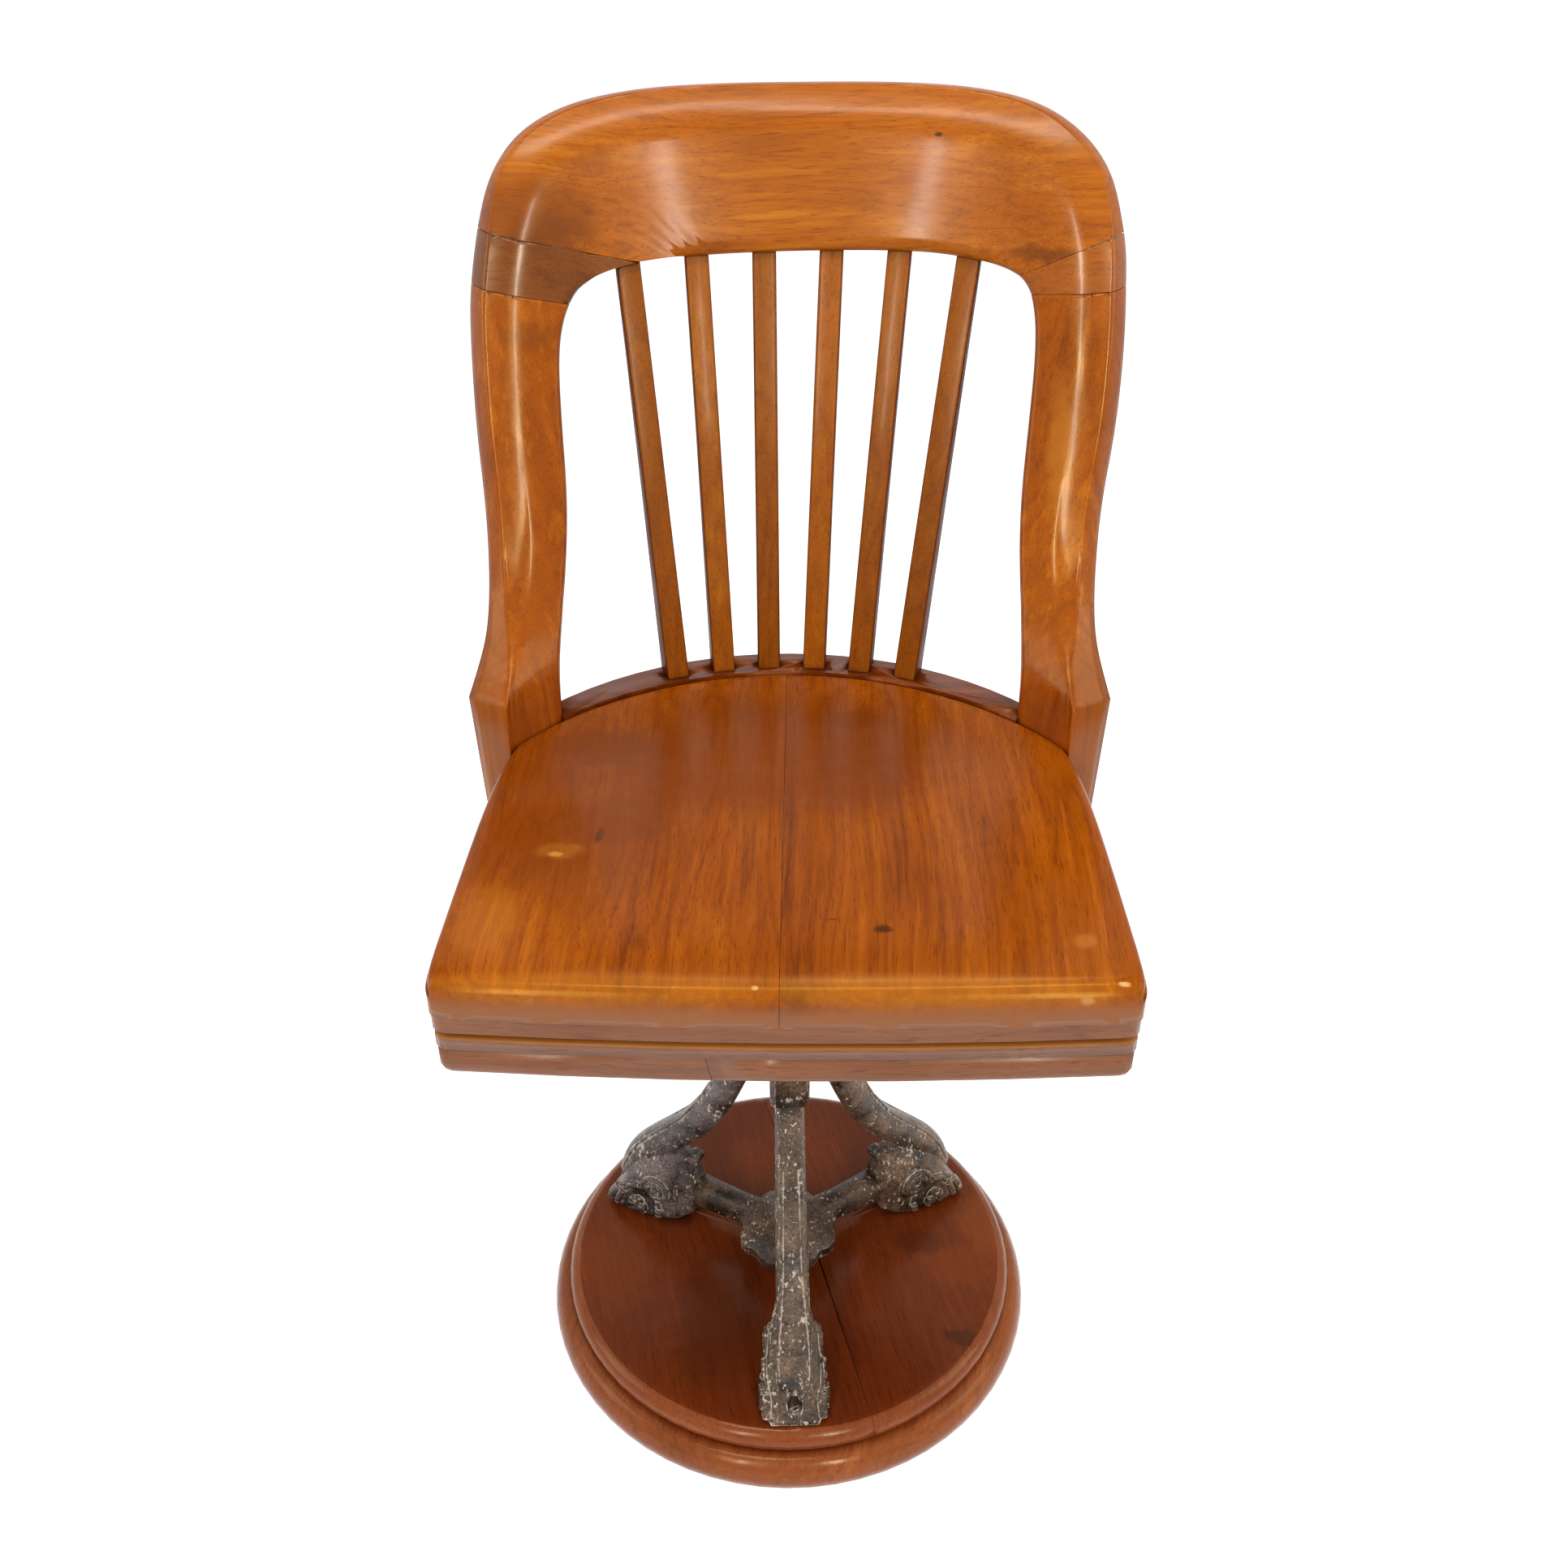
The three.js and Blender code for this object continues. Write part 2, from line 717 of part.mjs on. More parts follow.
// Bush, spindle, washers and nut
const bush_outer_radius = hub_bore_radius * Math.cos(Math.PI / hub_sides) - glue_gap;
const bush_bore_radius = (spindle_radius + running_gap) / Math.cos(Math.PI / hub_sides);
addPiece('thread_bush', toAxis(turned([
  [bush_bore_radius, bush_top - bush_flange_thickness - bush_length],
  [bush_outer_radius, bush_top - bush_flange_thickness - bush_length],
  [bush_outer_radius, bush_top - bush_flange_thickness],
  [bush_flange_radius, bush_top - bush_flange_thickness],
  [bush_flange_radius, bush_top],
  [bush_bore_radius, bush_top],
  [bush_bore_radius, bush_top - bush_flange_thickness - bush_length],
], hub_sides)), brass);

const spindle_bottom = collar_bottom - spindle_length;
addPiece('spindle_screw', toAxis(turned([
  [0, spindle_bottom],
  [spindle_radius * 0.75, spindle_bottom],
  [spindle_radius, spindle_bottom + spindle_radius * 0.25],
  [spindle_radius, collar_bottom],
  [collar_radius, collar_bottom],
  [collar_radius, collar_top],
  [pivot_radius, collar_top],
  [pivot_radius, spindle_top - pivot_radius * 0.2],
  [pivot_radius * 0.8, spindle_top],
  [0, spindle_top],
], hub_sides)), steel);

const pivot_bore_radius = (pivot_radius + running_gap) / Math.cos(Math.PI / hub_sides);
addPiece('thrust_washer',
  toAxis(ring(pivot_bore_radius, collar_radius, collar_top + glue_gap, iron_bottom - glue_gap, hub_sides)), brass);
addPiece('pivot_washer',
  toAxis(ring(pivot_bore_radius, nut_flats_radius + washer_thickness, iron_top + glue_gap, washer_top, hub_sides)), brass);
const nutBlank = rod(nut_flats_radius, nut_bottom, nut_bottom + nut_thickness, 6);
addPiece('pivot_nut', toAxis(cut(nutBlank,
  rod(pivot_bore_radius, nut_bottom - nut_thickness, nut_bottom + nut_thickness * 2, hub_sides))), steel);

// Seat iron
const iron_arm_length = Math.hypot(iron_hole_x, iron_hole_y);
const ironPlaces = [[1, -1], [1, 1], [-1, 1], [-1, -1]].map(([sideX, sideY], n) => ({
  name: `seat_iron_screw_${n + 1}`,
  x: axis_x + sideX * iron_hole_x,
  y: axis_y + sideY * iron_hole_y,
  turn: Math.atan2(sideY * iron_hole_y, sideX * iron_hole_x),
}));

function ironArm(turn) {
  const end = iron_arm_end_width / 2;
  const tip = steps(6).map((share) => {
    const angle = (share - 0.5) * Math.PI;
    return new THREE.Vector2(iron_arm_length + end * Math.cos(angle), end * Math.sin(angle));
  });
  const plan = [new THREE.Vector2(0, iron_arm_width / 2), new THREE.Vector2(0, -iron_arm_width / 2), ...tip];
  const plate = prism([
    { z: iron_top - iron_plate_thickness, plan },
    { z: iron_top, plan },
  ]);
  const rib_start = iron_boss_radius * 0.7;
  const rib_end = iron_arm_length - iron_arm_end_width;
  const plate_mid = iron_top - iron_plate_thickness / 2;
  const ribShape = new THREE.Shape([
    new THREE.Vector2(rib_start, plate_mid),
    new THREE.Vector2(rib_start, iron_top - iron_plate_thickness - iron_rib_depth),
    new THREE.Vector2(lerp(rib_start, rib_end, 0.45), iron_top - iron_plate_thickness - iron_rib_depth * 0.42),
    new THREE.Vector2(rib_end, iron_top - iron_plate_thickness),
    new THREE.Vector2(rib_end, plate_mid),
  ]);
  const rib = new THREE.ExtrudeGeometry(ribShape, { depth: iron_rib_thickness, bevelEnabled: false });
  rib.translate(0, 0, -iron_rib_thickness / 2);
  rib.rotateX(Math.PI / 2);
  return joined(plate, rib).rotateZ(turn);
}

function ironScrew(clearance) {
  const head_top = iron_top - iron_plate_thickness - glue_gap + clearance;
  return turned([
    [0, head_top - screw_head_height - clearance],
    [screw_head_radius * 0.6, head_top - screw_head_height - clearance],
    [screw_head_radius + clearance, head_top - screw_head_height * 0.5],
    [screw_head_radius + clearance, head_top],
    [screw_radius + clearance, head_top],
    [screw_radius + clearance, head_top + screw_length],
    [0, head_top + screw_length],
  ], 8);
}

const ironScrewHoles = ironPlaces.map(({ x, y }) => ironScrew(glue_gap).translate(x, y, 0));
const ironBoss = turned([
  [0, iron_bottom],
  [iron_boss_radius * 0.88, iron_bottom],
  [iron_boss_radius * 0.88, iron_top - iron_boss_height * 0.5],
  [iron_boss_radius, iron_top - iron_boss_height * 0.35],
  [iron_boss_radius * 1.2, iron_top - iron_plate_thickness],
  [iron_boss_radius * 1.2, iron_top],
  [0, iron_top],
], hub_sides);
addPiece('seat_iron', cut(
  toAxis(joined(ironBoss, ...ironPlaces.map(({ turn }) => ironArm(turn)))),
  toAxis(rod(pivot_bore_radius, iron_bottom - washer_thickness, iron_top + washer_thickness, hub_sides)),
  ...ironScrewHoles,
), castIron);
ironPlaces.forEach(({ name, x, y }) => addPiece(name, ironScrew(0).translate(x, y, 0), steel));

// Seat outline, seen from above
function seatFrontY(x, inset) {
  const half = seat_half_width - inset;
  const bow = seat_front_bow * (1 - (x / half) ** 2);
  const past = Math.max(0, Math.abs(x) - (half - seat_corner_round));
  const corner = seat_corner_round - Math.sqrt(Math.max(0, seat_corner_round ** 2 - past ** 2));
  return inset - seat_front_reach - bow + corner;
}

function seatHalfWidth(y, inset) {
  const rear = seatRearY(seat_half_width - seat_side_taper);
  const share = THREE.MathUtils.clamp((y + seat_front_reach) / (rear + seat_front_reach), 0, 1);
  return seat_half_width - inset - seat_side_lean * share
    - (seat_side_taper - seat_side_lean) * share ** seat_side_power_share;
}

function arcY(x, radius) {
  return arc_centre_y + Math.sqrt(Math.max(0, radius ** 2 - x ** 2));
}

function seatRearY(x) {
  return arcY(x, arc_radius - glue_gap);
}

// One point of the seat's plan: across from -1 to 1, and back from 0 at the front to 1 at the rear
function seatPoint(across, back, inset) {
  let point = new THREE.Vector2(across * (seat_half_width - inset), 0);
  for (let pass = 0; pass < 20; pass += 1) {
    const y = lerp(seatFrontY(across * (seat_half_width - inset), inset), seatRearY(point.x), back);
    point = new THREE.Vector2(across * seatHalfWidth(y, inset), y);
  }
  return point;
}

function seatOutline(inset) {
  const corner = seat_corner_round / seat_half_width;
  const acrossShares = [-1, -1 + corner * 0.12, -1 + corner * 0.5, -1 + corner];
  const frontShares = [...acrossShares, ...[-0.64, -0.32, 0, 0.32, 0.64], ...acrossShares.map((share) => -share).reverse()];
  const sideShares = [0.3, 0.6, 0.75, 0.88, 1];
  const rear_half = seat_half_width - seat_side_taper - groove_inset * 1.2;
  return [
    ...frontShares.map((share) => seatPoint(share, 0, inset)),
    ...sideShares.map((share) => seatPoint(1, share, inset)),
    ...steps(18).map((share) => {
      const x = lerp(rear_half, -rear_half, share);
      return new THREE.Vector2(x, seatRearY(x));
    }),
    ...sideShares.map((share) => seatPoint(-1, share, inset)).reverse(),
  ];
}

// Seat boards with their scooped top
function seatTop(point) {
  const frontGap = point.y - seatFrontY(point.x, 0);
  const sideGap = seatHalfWidth(point.y, 0) - Math.abs(point.x);
  const rearGap = seatRearY(point.x) - point.y;
  const frontPast = Math.max(0, 1 - frontGap / seat_front_round);
  const sidePast = Math.max(0, 1 - sideGap / seat_side_round);
  const past = Math.min(1, Math.hypot(frontPast, sidePast));
  const roundSize = lerp(seat_side_round, seat_front_round, frontPast ** 2 / Math.max(frontPast ** 2 + sidePast ** 2, 1e-9));
  const scoop = seat_scoop_depth
    * smoothstep(sideGap, seat_scoop_rim, seat_scoop_run)
    * smoothstep(rearGap, seat_scoop_rim, seat_scoop_run)
    * smoothstep(frontGap, seat_scoop_rim, seat_scoop_front_run);
  return seat_height - scoop - roundSize * (1 - Math.sqrt(1 - past ** 2));
}

// Columns of the board's grid: shares of the side rounding from the edge, and of the half width from the seam
const board_edge_shares = [0, 0.12, 0.45, 1, 3.4, 8];
const board_inward_shares = [0.68, 0.48, 0.3, 0.14];

function seatBoard(side) {
  const seam = (seat_seam_x + side * glue_gap / 2) / seat_half_width;
  const edge = seat_side_round / seat_half_width;
  const fromEdge = board_edge_shares.map((share) => side * (1 - share * edge));
  const inward = board_inward_shares.map((share) => seam + side * share);
  const columns = [seam, ...inward.reverse(), ...fromEdge.reverse()];
  const depth = seat_front_reach + seat_front_bow + seatRearY(0);
  const front = seat_front_round / depth;
  const rows = [0, front * 0.06, front * 0.25, front * 0.55, front, 0.12, 0.22, 0.34, 0.48, 0.62, 0.75, 0.86, 0.93, 0.975, 1];
  const grid = columns.map((across) => rows.map((back) => seatPoint(across, back, 0)));
  return gridBlock(grid, seatTop, seat_underside);
}

// A block with a flat underside whose top follows a height over a grid of plan points
function gridBlock(grid, heightAt, bottom) {
  const rows = grid[0].length;
  const top = grid.flat().map((point) => new THREE.Vector3(point.x, point.y, heightAt(point)));
  const rim = [
    ...grid.map((column, n) => n * rows),
    ...grid[0].map((_, n) => (grid.length - 1) * rows + n).slice(1),
    ...grid.map((_, n) => (grid.length - 1 - n) * rows + rows - 1).slice(1),
    ...grid[0].map((_, n) => rows - 1 - n).slice(1, -1),
  ];
  const under = rim.map((n) => new THREE.Vector3(top[n].x, top[n].y, bottom));
  const positions = [...top, ...under].flatMap((point) => [point.x, point.y, point.z]);
  let index = [];
  for (let column = 0; column < grid.length - 1; column += 1) {
    for (let row = 0; row < rows - 1; row += 1) {
      const here = column * rows + row;
      index.push(here, here + rows, here + rows + 1, here, here + rows + 1, here + 1);
    }
  }
  rim.forEach((here, n) => {
    const next = (n + 1) % rim.length;
    index.push(here, top.length + n, top.length + next, here, top.length + next, rim[next]);
  });
  capTriangles(under).forEach(([a, b, c]) =>
    index.push(top.length + c, top.length + b, top.length + a));
  if (enclosedVolume(positions, index) < 0) {
    index = index.reverse();
  }
  const geometry = new THREE.BufferGeometry();
  geometry.setAttribute('position', new THREE.Float32BufferAttribute(positions, 3));
  geometry.setIndex(index);
  return geometry;
}

addPiece('seat_board_left', seatBoard(-1), seatWood);
addPiece('seat_board_right', seatBoard(1), seatWood);

// Members under the boards, each layer sawn from one outline with the middle left open
const frame_front_y = frame_width - seat_front_reach;
const frame_side_x = seat_half_width - frame_width;
const backward = new THREE.Vector3(0, 1, 0);
const rightward = new THREE.Vector3(1, 0, 0);

function openMiddle(rearRadius) {
  const rear = steps(12).map((share) => {
    const x = lerp(frame_side_x, -frame_side_x, share);
    return new THREE.Vector2(x, arcY(x, rearRadius));
  });
  const plan = [
    new THREE.Vector2(-frame_side_x, frame_front_y),
    new THREE.Vector2(frame_side_x, frame_front_y),
    ...rear,
  ];
  return prism([{ z: rail_bottom - rail_height, plan }, { z: seat_height, plan }]);
}

function frameLayer(levels, rearRadius) {
  return cut(prism(levels.map(([z, inset]) => ({ z, plan: seatOutline(inset) }))), openMiddle(rearRadius));
}

function frontMember(layer) {
  return keepBehind(layer, new THREE.Vector3(0, frame_front_y - glue_gap, 0), backward);
}

function sideMember(layer, side) {
  const outward = rightward.clone().multiplyScalar(-side);
  const behindFront = keepBehind(layer, new THREE.Vector3(0, frame_front_y, 0), backward.clone().negate());
  return keepBehind(behindFront, new THREE.Vector3(side * frame_side_x, 0, 0), outward);
}

const open_rear_radius = arc_radius * 1.05;
const mouldingLayer = joined(
  frameLayer([[groove_bottom, groove_inset], [moulding_bottom + moulding_height, groove_inset]], open_rear_radius),
  frameLayer([[moulding_bottom, moulding_inset], [moulding_bottom + moulding_height, moulding_inset]], open_rear_radius),
);
const bandLayer = frameLayer([
  [band_bottom, band_inset],
  [band_top - edge_round * 0.4, band_inset],
  [band_top, band_inset + edge_round * 0.4],
], open_rear_radius);
const railLayer = frameLayer([
  [rail_bottom, rail_inset + rail_round],
  [rail_bottom + rail_round * 0.13, rail_inset + rail_round * 0.5],
  [rail_bottom + rail_round * 0.5, rail_inset + rail_round * 0.13],
  [rail_bottom + rail_round, rail_inset],
  [rail_top, rail_inset],
], arc_radius - frame_width);

// Each dowel enters a blind hole in a side rail's rear end, square to the back's arc
const dowel_x = lerp(frame_side_x, seat_half_width - seat_side_taper - rail_inset, dowel_place_share);

function postDowel(side, clearance) {
  const turn = Math.asin(dowel_x / arc_radius);
  const dowel = rod(dowel_radius + clearance, -dowel_insertion - clearance, dowel_length - dowel_insertion + clearance, 12);
  dowel.rotateX(-Math.PI / 2);
  dowel.rotateZ(-side * turn);
  dowel.translate(side * dowel_x, arcY(dowel_x, arc_radius), (rail_top + rail_bottom) / 2);
  return dowel;
}

const postDowels = [-1, 1].map((side) => postDowel(side, 0));
const dowelHoles = [-1, 1].map((side) => postDowel(side, glue_gap));

[['moulding', mouldingLayer], ['band', bandLayer]].forEach(([name, layer]) => {
  addPiece(`${name}_front`, frontMember(layer), railWood);
  addPiece(`${name}_left`, sideMember(layer, -1), railWood);
  addPiece(`${name}_right`, sideMember(layer, 1), railWood);
});

const scarf_lean = degToRad(rail_scarf_lean);
const scarf_normal = new THREE.Vector3(Math.cos(scarf_lean), 0, Math.sin(scarf_lean));
const scarfPoint = (shift) => new THREE.Vector3(rail_scarf_x + shift, 0, rail_bottom);
const frontRail = frontMember(railLayer);
addPiece('rail_front_left', keepBehind(frontRail, scarfPoint(-glue_gap / 2), scarf_normal), railWood);
addPiece('rail_front_right', keepBehind(frontRail, scarfPoint(glue_gap / 2), scarf_normal.clone().negate()), railWood);
addPiece('rail_left', cut(sideMember(railLayer, -1), dowelHoles[0]), railWood);
addPiece('rail_right', cut(sideMember(railLayer, 1), dowelHoles[1]), railWood);
const rearRail = [-1, 1].reduce((rail, side) => keepBehind(
  rail, new THREE.Vector3(side * (frame_side_x - glue_gap), 0, 0), rightward.clone().multiplyScalar(side)),
keepBehind(railLayer, new THREE.Vector3(0, 0, 0), backward.clone().negate()));
addPiece('rail_rear', rearRail, railWood);
addPiece('post_dowel_left', postDowels[0], seatWood);
addPiece('post_dowel_right', postDowels[1], seatWood);

// Battens that take the seat iron's screws
[-1, 1].forEach((side) => {
  const near = axis_x + side * iron_hole_x;
  const reach = Math.abs(near) + batten_width / 2;
  const rear = arcY(reach, arc_radius - glue_gap);
  const front = frame_front_y + glue_gap;
  const batten = new THREE.BoxGeometry(batten_width, rear - front, batten_thickness);
  batten.translate(near, (rear + front) / 2, batten_bottom + batten_thickness / 2);
  const relief = new THREE.BoxGeometry(batten_width * 2, cut_overrun, rail_height);
  relief.translate(near, cut_overrun / 2 + arcY(reach, arc_radius - frame_width) - glue_gap,
    rail_top + glue_gap - rail_height / 2);
  addPiece(side < 0 ? 'batten_left' : 'batten_right', cut(batten, relief, ...ironScrewHoles), railWood);
});

// Barrel back. Its front face is an arc at each height
function backRadius(z) {
  return arc_radius + (z - lean_height) * arc_opening_share;
}

function backFrontY(x, z) {
  const radius = backRadius(z);
  const middle = arc_centre_y + arc_radius + (z - lean_height) * back_lean_share;
  return middle - radius + Math.sqrt(radius ** 2 - x ** 2);
}

// The posts leave the seat's own arc at the crease and meet the leaning face at the knee's top
function postFrontY(x, z) {
  const fade = (1 - THREE.MathUtils.clamp((z - crease_height) / knee_rise, 0, 1)) ** 2;
  const forward = backFrontY(x, crease_height) - arcY(x, arc_radius);
  return backFrontY(x, z) - forward * fade;
}

// The back has racked a little to one side
function backRack(z) {
  return Math.max(0, z - crease_height) * back_rack_share;
}

// A point of the frame at a depth behind its front face, measured square to it in plan
function backPoint(x, z, deep) {
  const out = x / (arc_radius + Math.max(0, z - crease_height) * arc_opening_share);
  return new THREE.Vector3(
    x + out * deep + backRack(z), postFrontY(x, z) + Math.sqrt(1 - out ** 2) * deep, z);
}

function edgeCurve(shares, halfWidth, height) {
  return shares.map(([out, up]) => new THREE.Vector3(out * halfWidth, 0, lerp(crease_height, height, up)));
}

const sideName = (side) => (side < 0 ? 'left' : 'right');
const frameEdges = Object.fromEntries(['left', 'right'].map((name) => [name, {
  inner: new THREE.CatmullRomCurve3(edgeCurve(inner_edge_shares[name], opening_half_width, opening_height)),
  outer: new THREE.CatmullRomCurve3(edgeCurve(outer_edge_shares[name], back_half_width, back_height)),
}]));
const last_station = inner_edge_shares.left.length - 1;

// One ring round the frame between a point of the inner edge and one of the outer edge
function frameRing(inner, outer, side, thickness, arris, rearEdge) {
  const span = inner.distanceTo(outer);
  const arrisArc = steps(3).map((share) => {
    const turn = share * Math.PI / 2;
    return [span - arris + arris * Math.sin(turn), arris - arris * Math.cos(turn)];
  });
  const outline = [
    [0, edge_round],
    [edge_round, 0],
    [span * 0.35, 0],
    [Math.min(span * 0.68, span - arris * 1.05), 0],
    ...arrisArc,
    [span, thickness - rearEdge],
    [span - rearEdge, thickness],
    [span * 0.68, thickness],
    [span * 0.35, thickness],
    [0, thickness],
  ];
  return outline.map(([along, deep]) => {
    const x = lerp(inner.x, outer.x, along / span);
    const z = lerp(inner.z, outer.z, along / span);
    return backPoint(side * x, z, deep);
  });
}

function stationRing(innerStation, outerStation, side) {
  const edges = frameEdges[sideName(side)];
  const inner = edges.inner.getPoint(Math.min(1, innerStation / last_station));
  const outer = edges.outer.getPoint(Math.min(1, outerStation / last_station));
  const upward = outerStation / last_station;
  const thickness = back_thickness
    + (knee_thickness - back_thickness) * (1 - smoothstep(upward, 0, 0.1))
    + (crest_thickness - back_thickness) * smoothstep(upward, 0.5, 1);
  const arris = lerp(edge_round, arris_round, smoothstep(upward, 0, 0.16));
  const rearEdge = edge_round * (0.6 + smoothstep(upward, 0, 0.2) + smoothstep(upward, 0.5, 1) * 1.6);
  return frameRing(inner, outer, side, thickness, arris, rearEdge);
}

function frameStations(from, to, count, side) {
  return steps(count).map((share) => stationRing(lerp(from[0], to[0], share), lerp(from[1], to[1], share), side));
}

// Half a glue gap, as a share of a station
const joint_gap_share = 0.012;
const shifted = ([inner, outer], by) => [inner + by, outer + by];

function post(side) {
  const edges = frameEdges[sideName(side)];
  const foot = frameRing(edges.inner.getPoint(0), edges.outer.getPoint(0), side,
    block_foot_thickness, edge_round, edge_round * 0.6).map((point) => point.setZ(rail_bottom));
  return loft([foot, ...frameStations([0, 0], shifted(post_joint_shares, -joint_gap_share), 13, side)]);
}

// Slats, and the pockets that take their ends
function slatRing(slat, z, grow) {
  const place = slat - (slat_count - 1) / 2;
  const up = (z - bow_height) / (opening_height - bow_height);
  const middle = place * lerp(slat_foot_pitch, slat_top_pitch, up);
  const foot_y = backFrontY(place * slat_foot_pitch, bow_height) + slat_setback;
  const head_y = backFrontY(place * slat_top_pitch, opening_height) + slat_setback;
  const front = new THREE.Vector3(middle + backRack(z), lerp(foot_y, head_y, up), z);
  const turn = -Math.asin(place * lerp(slat_foot_pitch / arc_radius, slat_top_pitch / backRadius(opening_height), up));
  const half = slat_width / 2 + grow;
  const corner = slat_round;
  return [
    [-half, corner - grow],
    [corner - half, -grow],
    [half - corner, -grow],
    [half, corner - grow],
    [half, slat_depth + grow],
    [-half, slat_depth + grow],
  ].map(([x, y]) => new THREE.Vector3(
    front.x + x * Math.cos(turn) - y * Math.sin(turn),
    front.y + x * Math.sin(turn) + y * Math.cos(turn), z));
}

function slatSolid(slat, grow) {
  return loft([
    slatRing(slat, bow_height - slat_tenon - grow, grow),
    slatRing(slat, opening_height + slat_tenon + grow, grow),
  ]);
}

const slats = steps(slat_count - 1).map((_, slat) => slat);
const slatPockets = slats.map((slat) => slatSolid(slat, glue_gap));
slats.forEach((slat) => addPiece(`slat_${slat + 1}`, slatSolid(slat, 0), seatWood));

const crestJoints = { left: left_crest_joint_shares, right: right_crest_joint_shares };
[['left', -1], ['right', 1]].forEach(([name, side], n) => {
  addPiece(`post_${name}`, cut(post(side), dowelHoles[n]), seatWood);
  addPiece(`shoulder_block_${name}`, cut(loft(frameStations(
    shifted(post_joint_shares, joint_gap_share), shifted(crestJoints[name], -joint_gap_share), 5, side)), ...slatPockets), seatWood);
});

const crestHalf = (side, joint, count) => frameStations(
  shifted(joint, joint_gap_share), [last_station, last_station], count, side);
const crestBlank = loft([
  ...crestHalf(-1, left_crest_joint_shares, 12),
  ...crestHalf(1, right_crest_joint_shares, 12).reverse().slice(1),
]);
addPiece('crest_rail', cut(crestBlank, ...slatPockets), seatWood);

// Bow: the rear rail that stands behind the seat between the posts
function bowPlan(inset) {
  const endTurn = (name) => Math.asin(frameEdges[name].inner.getPoint(0).x / arc_radius) - glue_gap / arc_radius;
  const depth = back_thickness - inset;
  const frontReach = () => arc_radius;
  const rearReach = (angle) => depth * Math.cos(angle) + Math.sqrt(arc_radius ** 2 - (depth * Math.sin(angle)) ** 2);
  const arc = (reach) => steps(20).map((share) => {
    const angle = lerp(-endTurn('left'), endTurn('right'), share);
    return new THREE.Vector2(reach(angle) * Math.sin(angle), arc_centre_y + reach(angle) * Math.cos(angle));
  });
  return [...arc(frontReach), ...arc(rearReach).reverse()];
}

const bowBlank = prism([
  { z: rail_bottom, plan: bowPlan(0) },
  { z: bow_height - bow_round, plan: bowPlan(0) },
  { z: bow_height, plan: bowPlan(bow_round) },
]);
addPiece('back_bow', cut(bowBlank, ...slatPockets), seatWood);

export default chair;
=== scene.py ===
from math import cos, exp, log, pi, radians, sin

import bpy
from mathutils import Matrix, Vector


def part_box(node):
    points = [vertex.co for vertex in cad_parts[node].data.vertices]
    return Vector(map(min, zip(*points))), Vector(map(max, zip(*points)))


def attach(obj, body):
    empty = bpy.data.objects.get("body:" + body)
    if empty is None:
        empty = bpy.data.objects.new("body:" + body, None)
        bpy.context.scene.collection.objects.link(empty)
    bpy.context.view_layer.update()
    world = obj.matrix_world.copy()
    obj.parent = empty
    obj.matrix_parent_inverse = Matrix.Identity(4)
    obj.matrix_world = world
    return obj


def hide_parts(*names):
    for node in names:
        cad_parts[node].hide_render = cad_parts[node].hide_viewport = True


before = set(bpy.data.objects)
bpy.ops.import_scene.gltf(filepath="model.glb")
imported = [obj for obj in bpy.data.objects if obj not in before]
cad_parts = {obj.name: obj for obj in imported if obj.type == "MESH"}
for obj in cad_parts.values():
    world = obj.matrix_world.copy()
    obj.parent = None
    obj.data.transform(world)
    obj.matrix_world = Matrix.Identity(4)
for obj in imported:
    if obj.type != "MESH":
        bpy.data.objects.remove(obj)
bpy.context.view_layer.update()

scene = bpy.context.scene
scene.view_settings.view_transform = "Standard"

# Camera: it stands in front of the chair a little above the crest and looks
# down at the seat, as the photograph does, with the chair turned by a hair.
camera_turn = radians(0.6)
camera_pitch = radians(33.5286)
camera_back = 0.96587
camera_height = 1.1749
frame_pixels = 1932
lens_pixels = 2000
centre_offset_pixels = 6
sensor_width = 36
camera_data = bpy.data.cameras.new("camera")
camera_data.sensor_width = sensor_width
camera_data.lens = sensor_width * lens_pixels / frame_pixels
camera_data.shift_x = -centre_offset_pixels / frame_pixels
camera_data.clip_start = 0.05
camera_data.clip_end = 60
camera = bpy.data.objects.new("camera", camera_data)
camera.location = (camera_back * sin(camera_turn), -camera_back * cos(camera_turn), camera_height)
camera.rotation_euler = (pi / 2 - camera_pitch, 0, camera_turn)
scene.collection.objects.link(camera)
scene.camera = camera


# Floor: a wide flat sheet painted a matt pale grey. It shows white wherever it
# is seen, and still keeps the chair's soft shadow.
def put(tree, kind, settings=None, sockets=None):
    """A node with its settings, and its sockets set to values or linked."""
    made = tree.nodes.new(kind)
    for key, value in (settings or {}).items():
        setattr(made, key, value)
    for key, value in (sockets or {}).items():
        if isinstance(value, bpy.types.NodeSocket):
            tree.links.new(value, made.inputs[key])
        else:
            made.inputs[key].default_value = value
    return made


def reckon(tree, operation, *values, kind="Math", output=0):
    """The result of one operation on values or sockets, taken in their order."""
    sockets = dict(enumerate(values))
    return put(tree, "ShaderNode" + kind, {"operation": operation}, sockets).outputs[output]


def seen_directly(tree):
    """1 for what the camera sees, also in a gloss or through glass, else 0."""
    path = put(tree, "ShaderNodeLightPath").outputs
    direct = reckon(tree, "MAXIMUM", path["Is Camera Ray"], path["Is Glossy Ray"])
    return reckon(tree, "MAXIMUM", direct, path["Is Transmission Ray"])


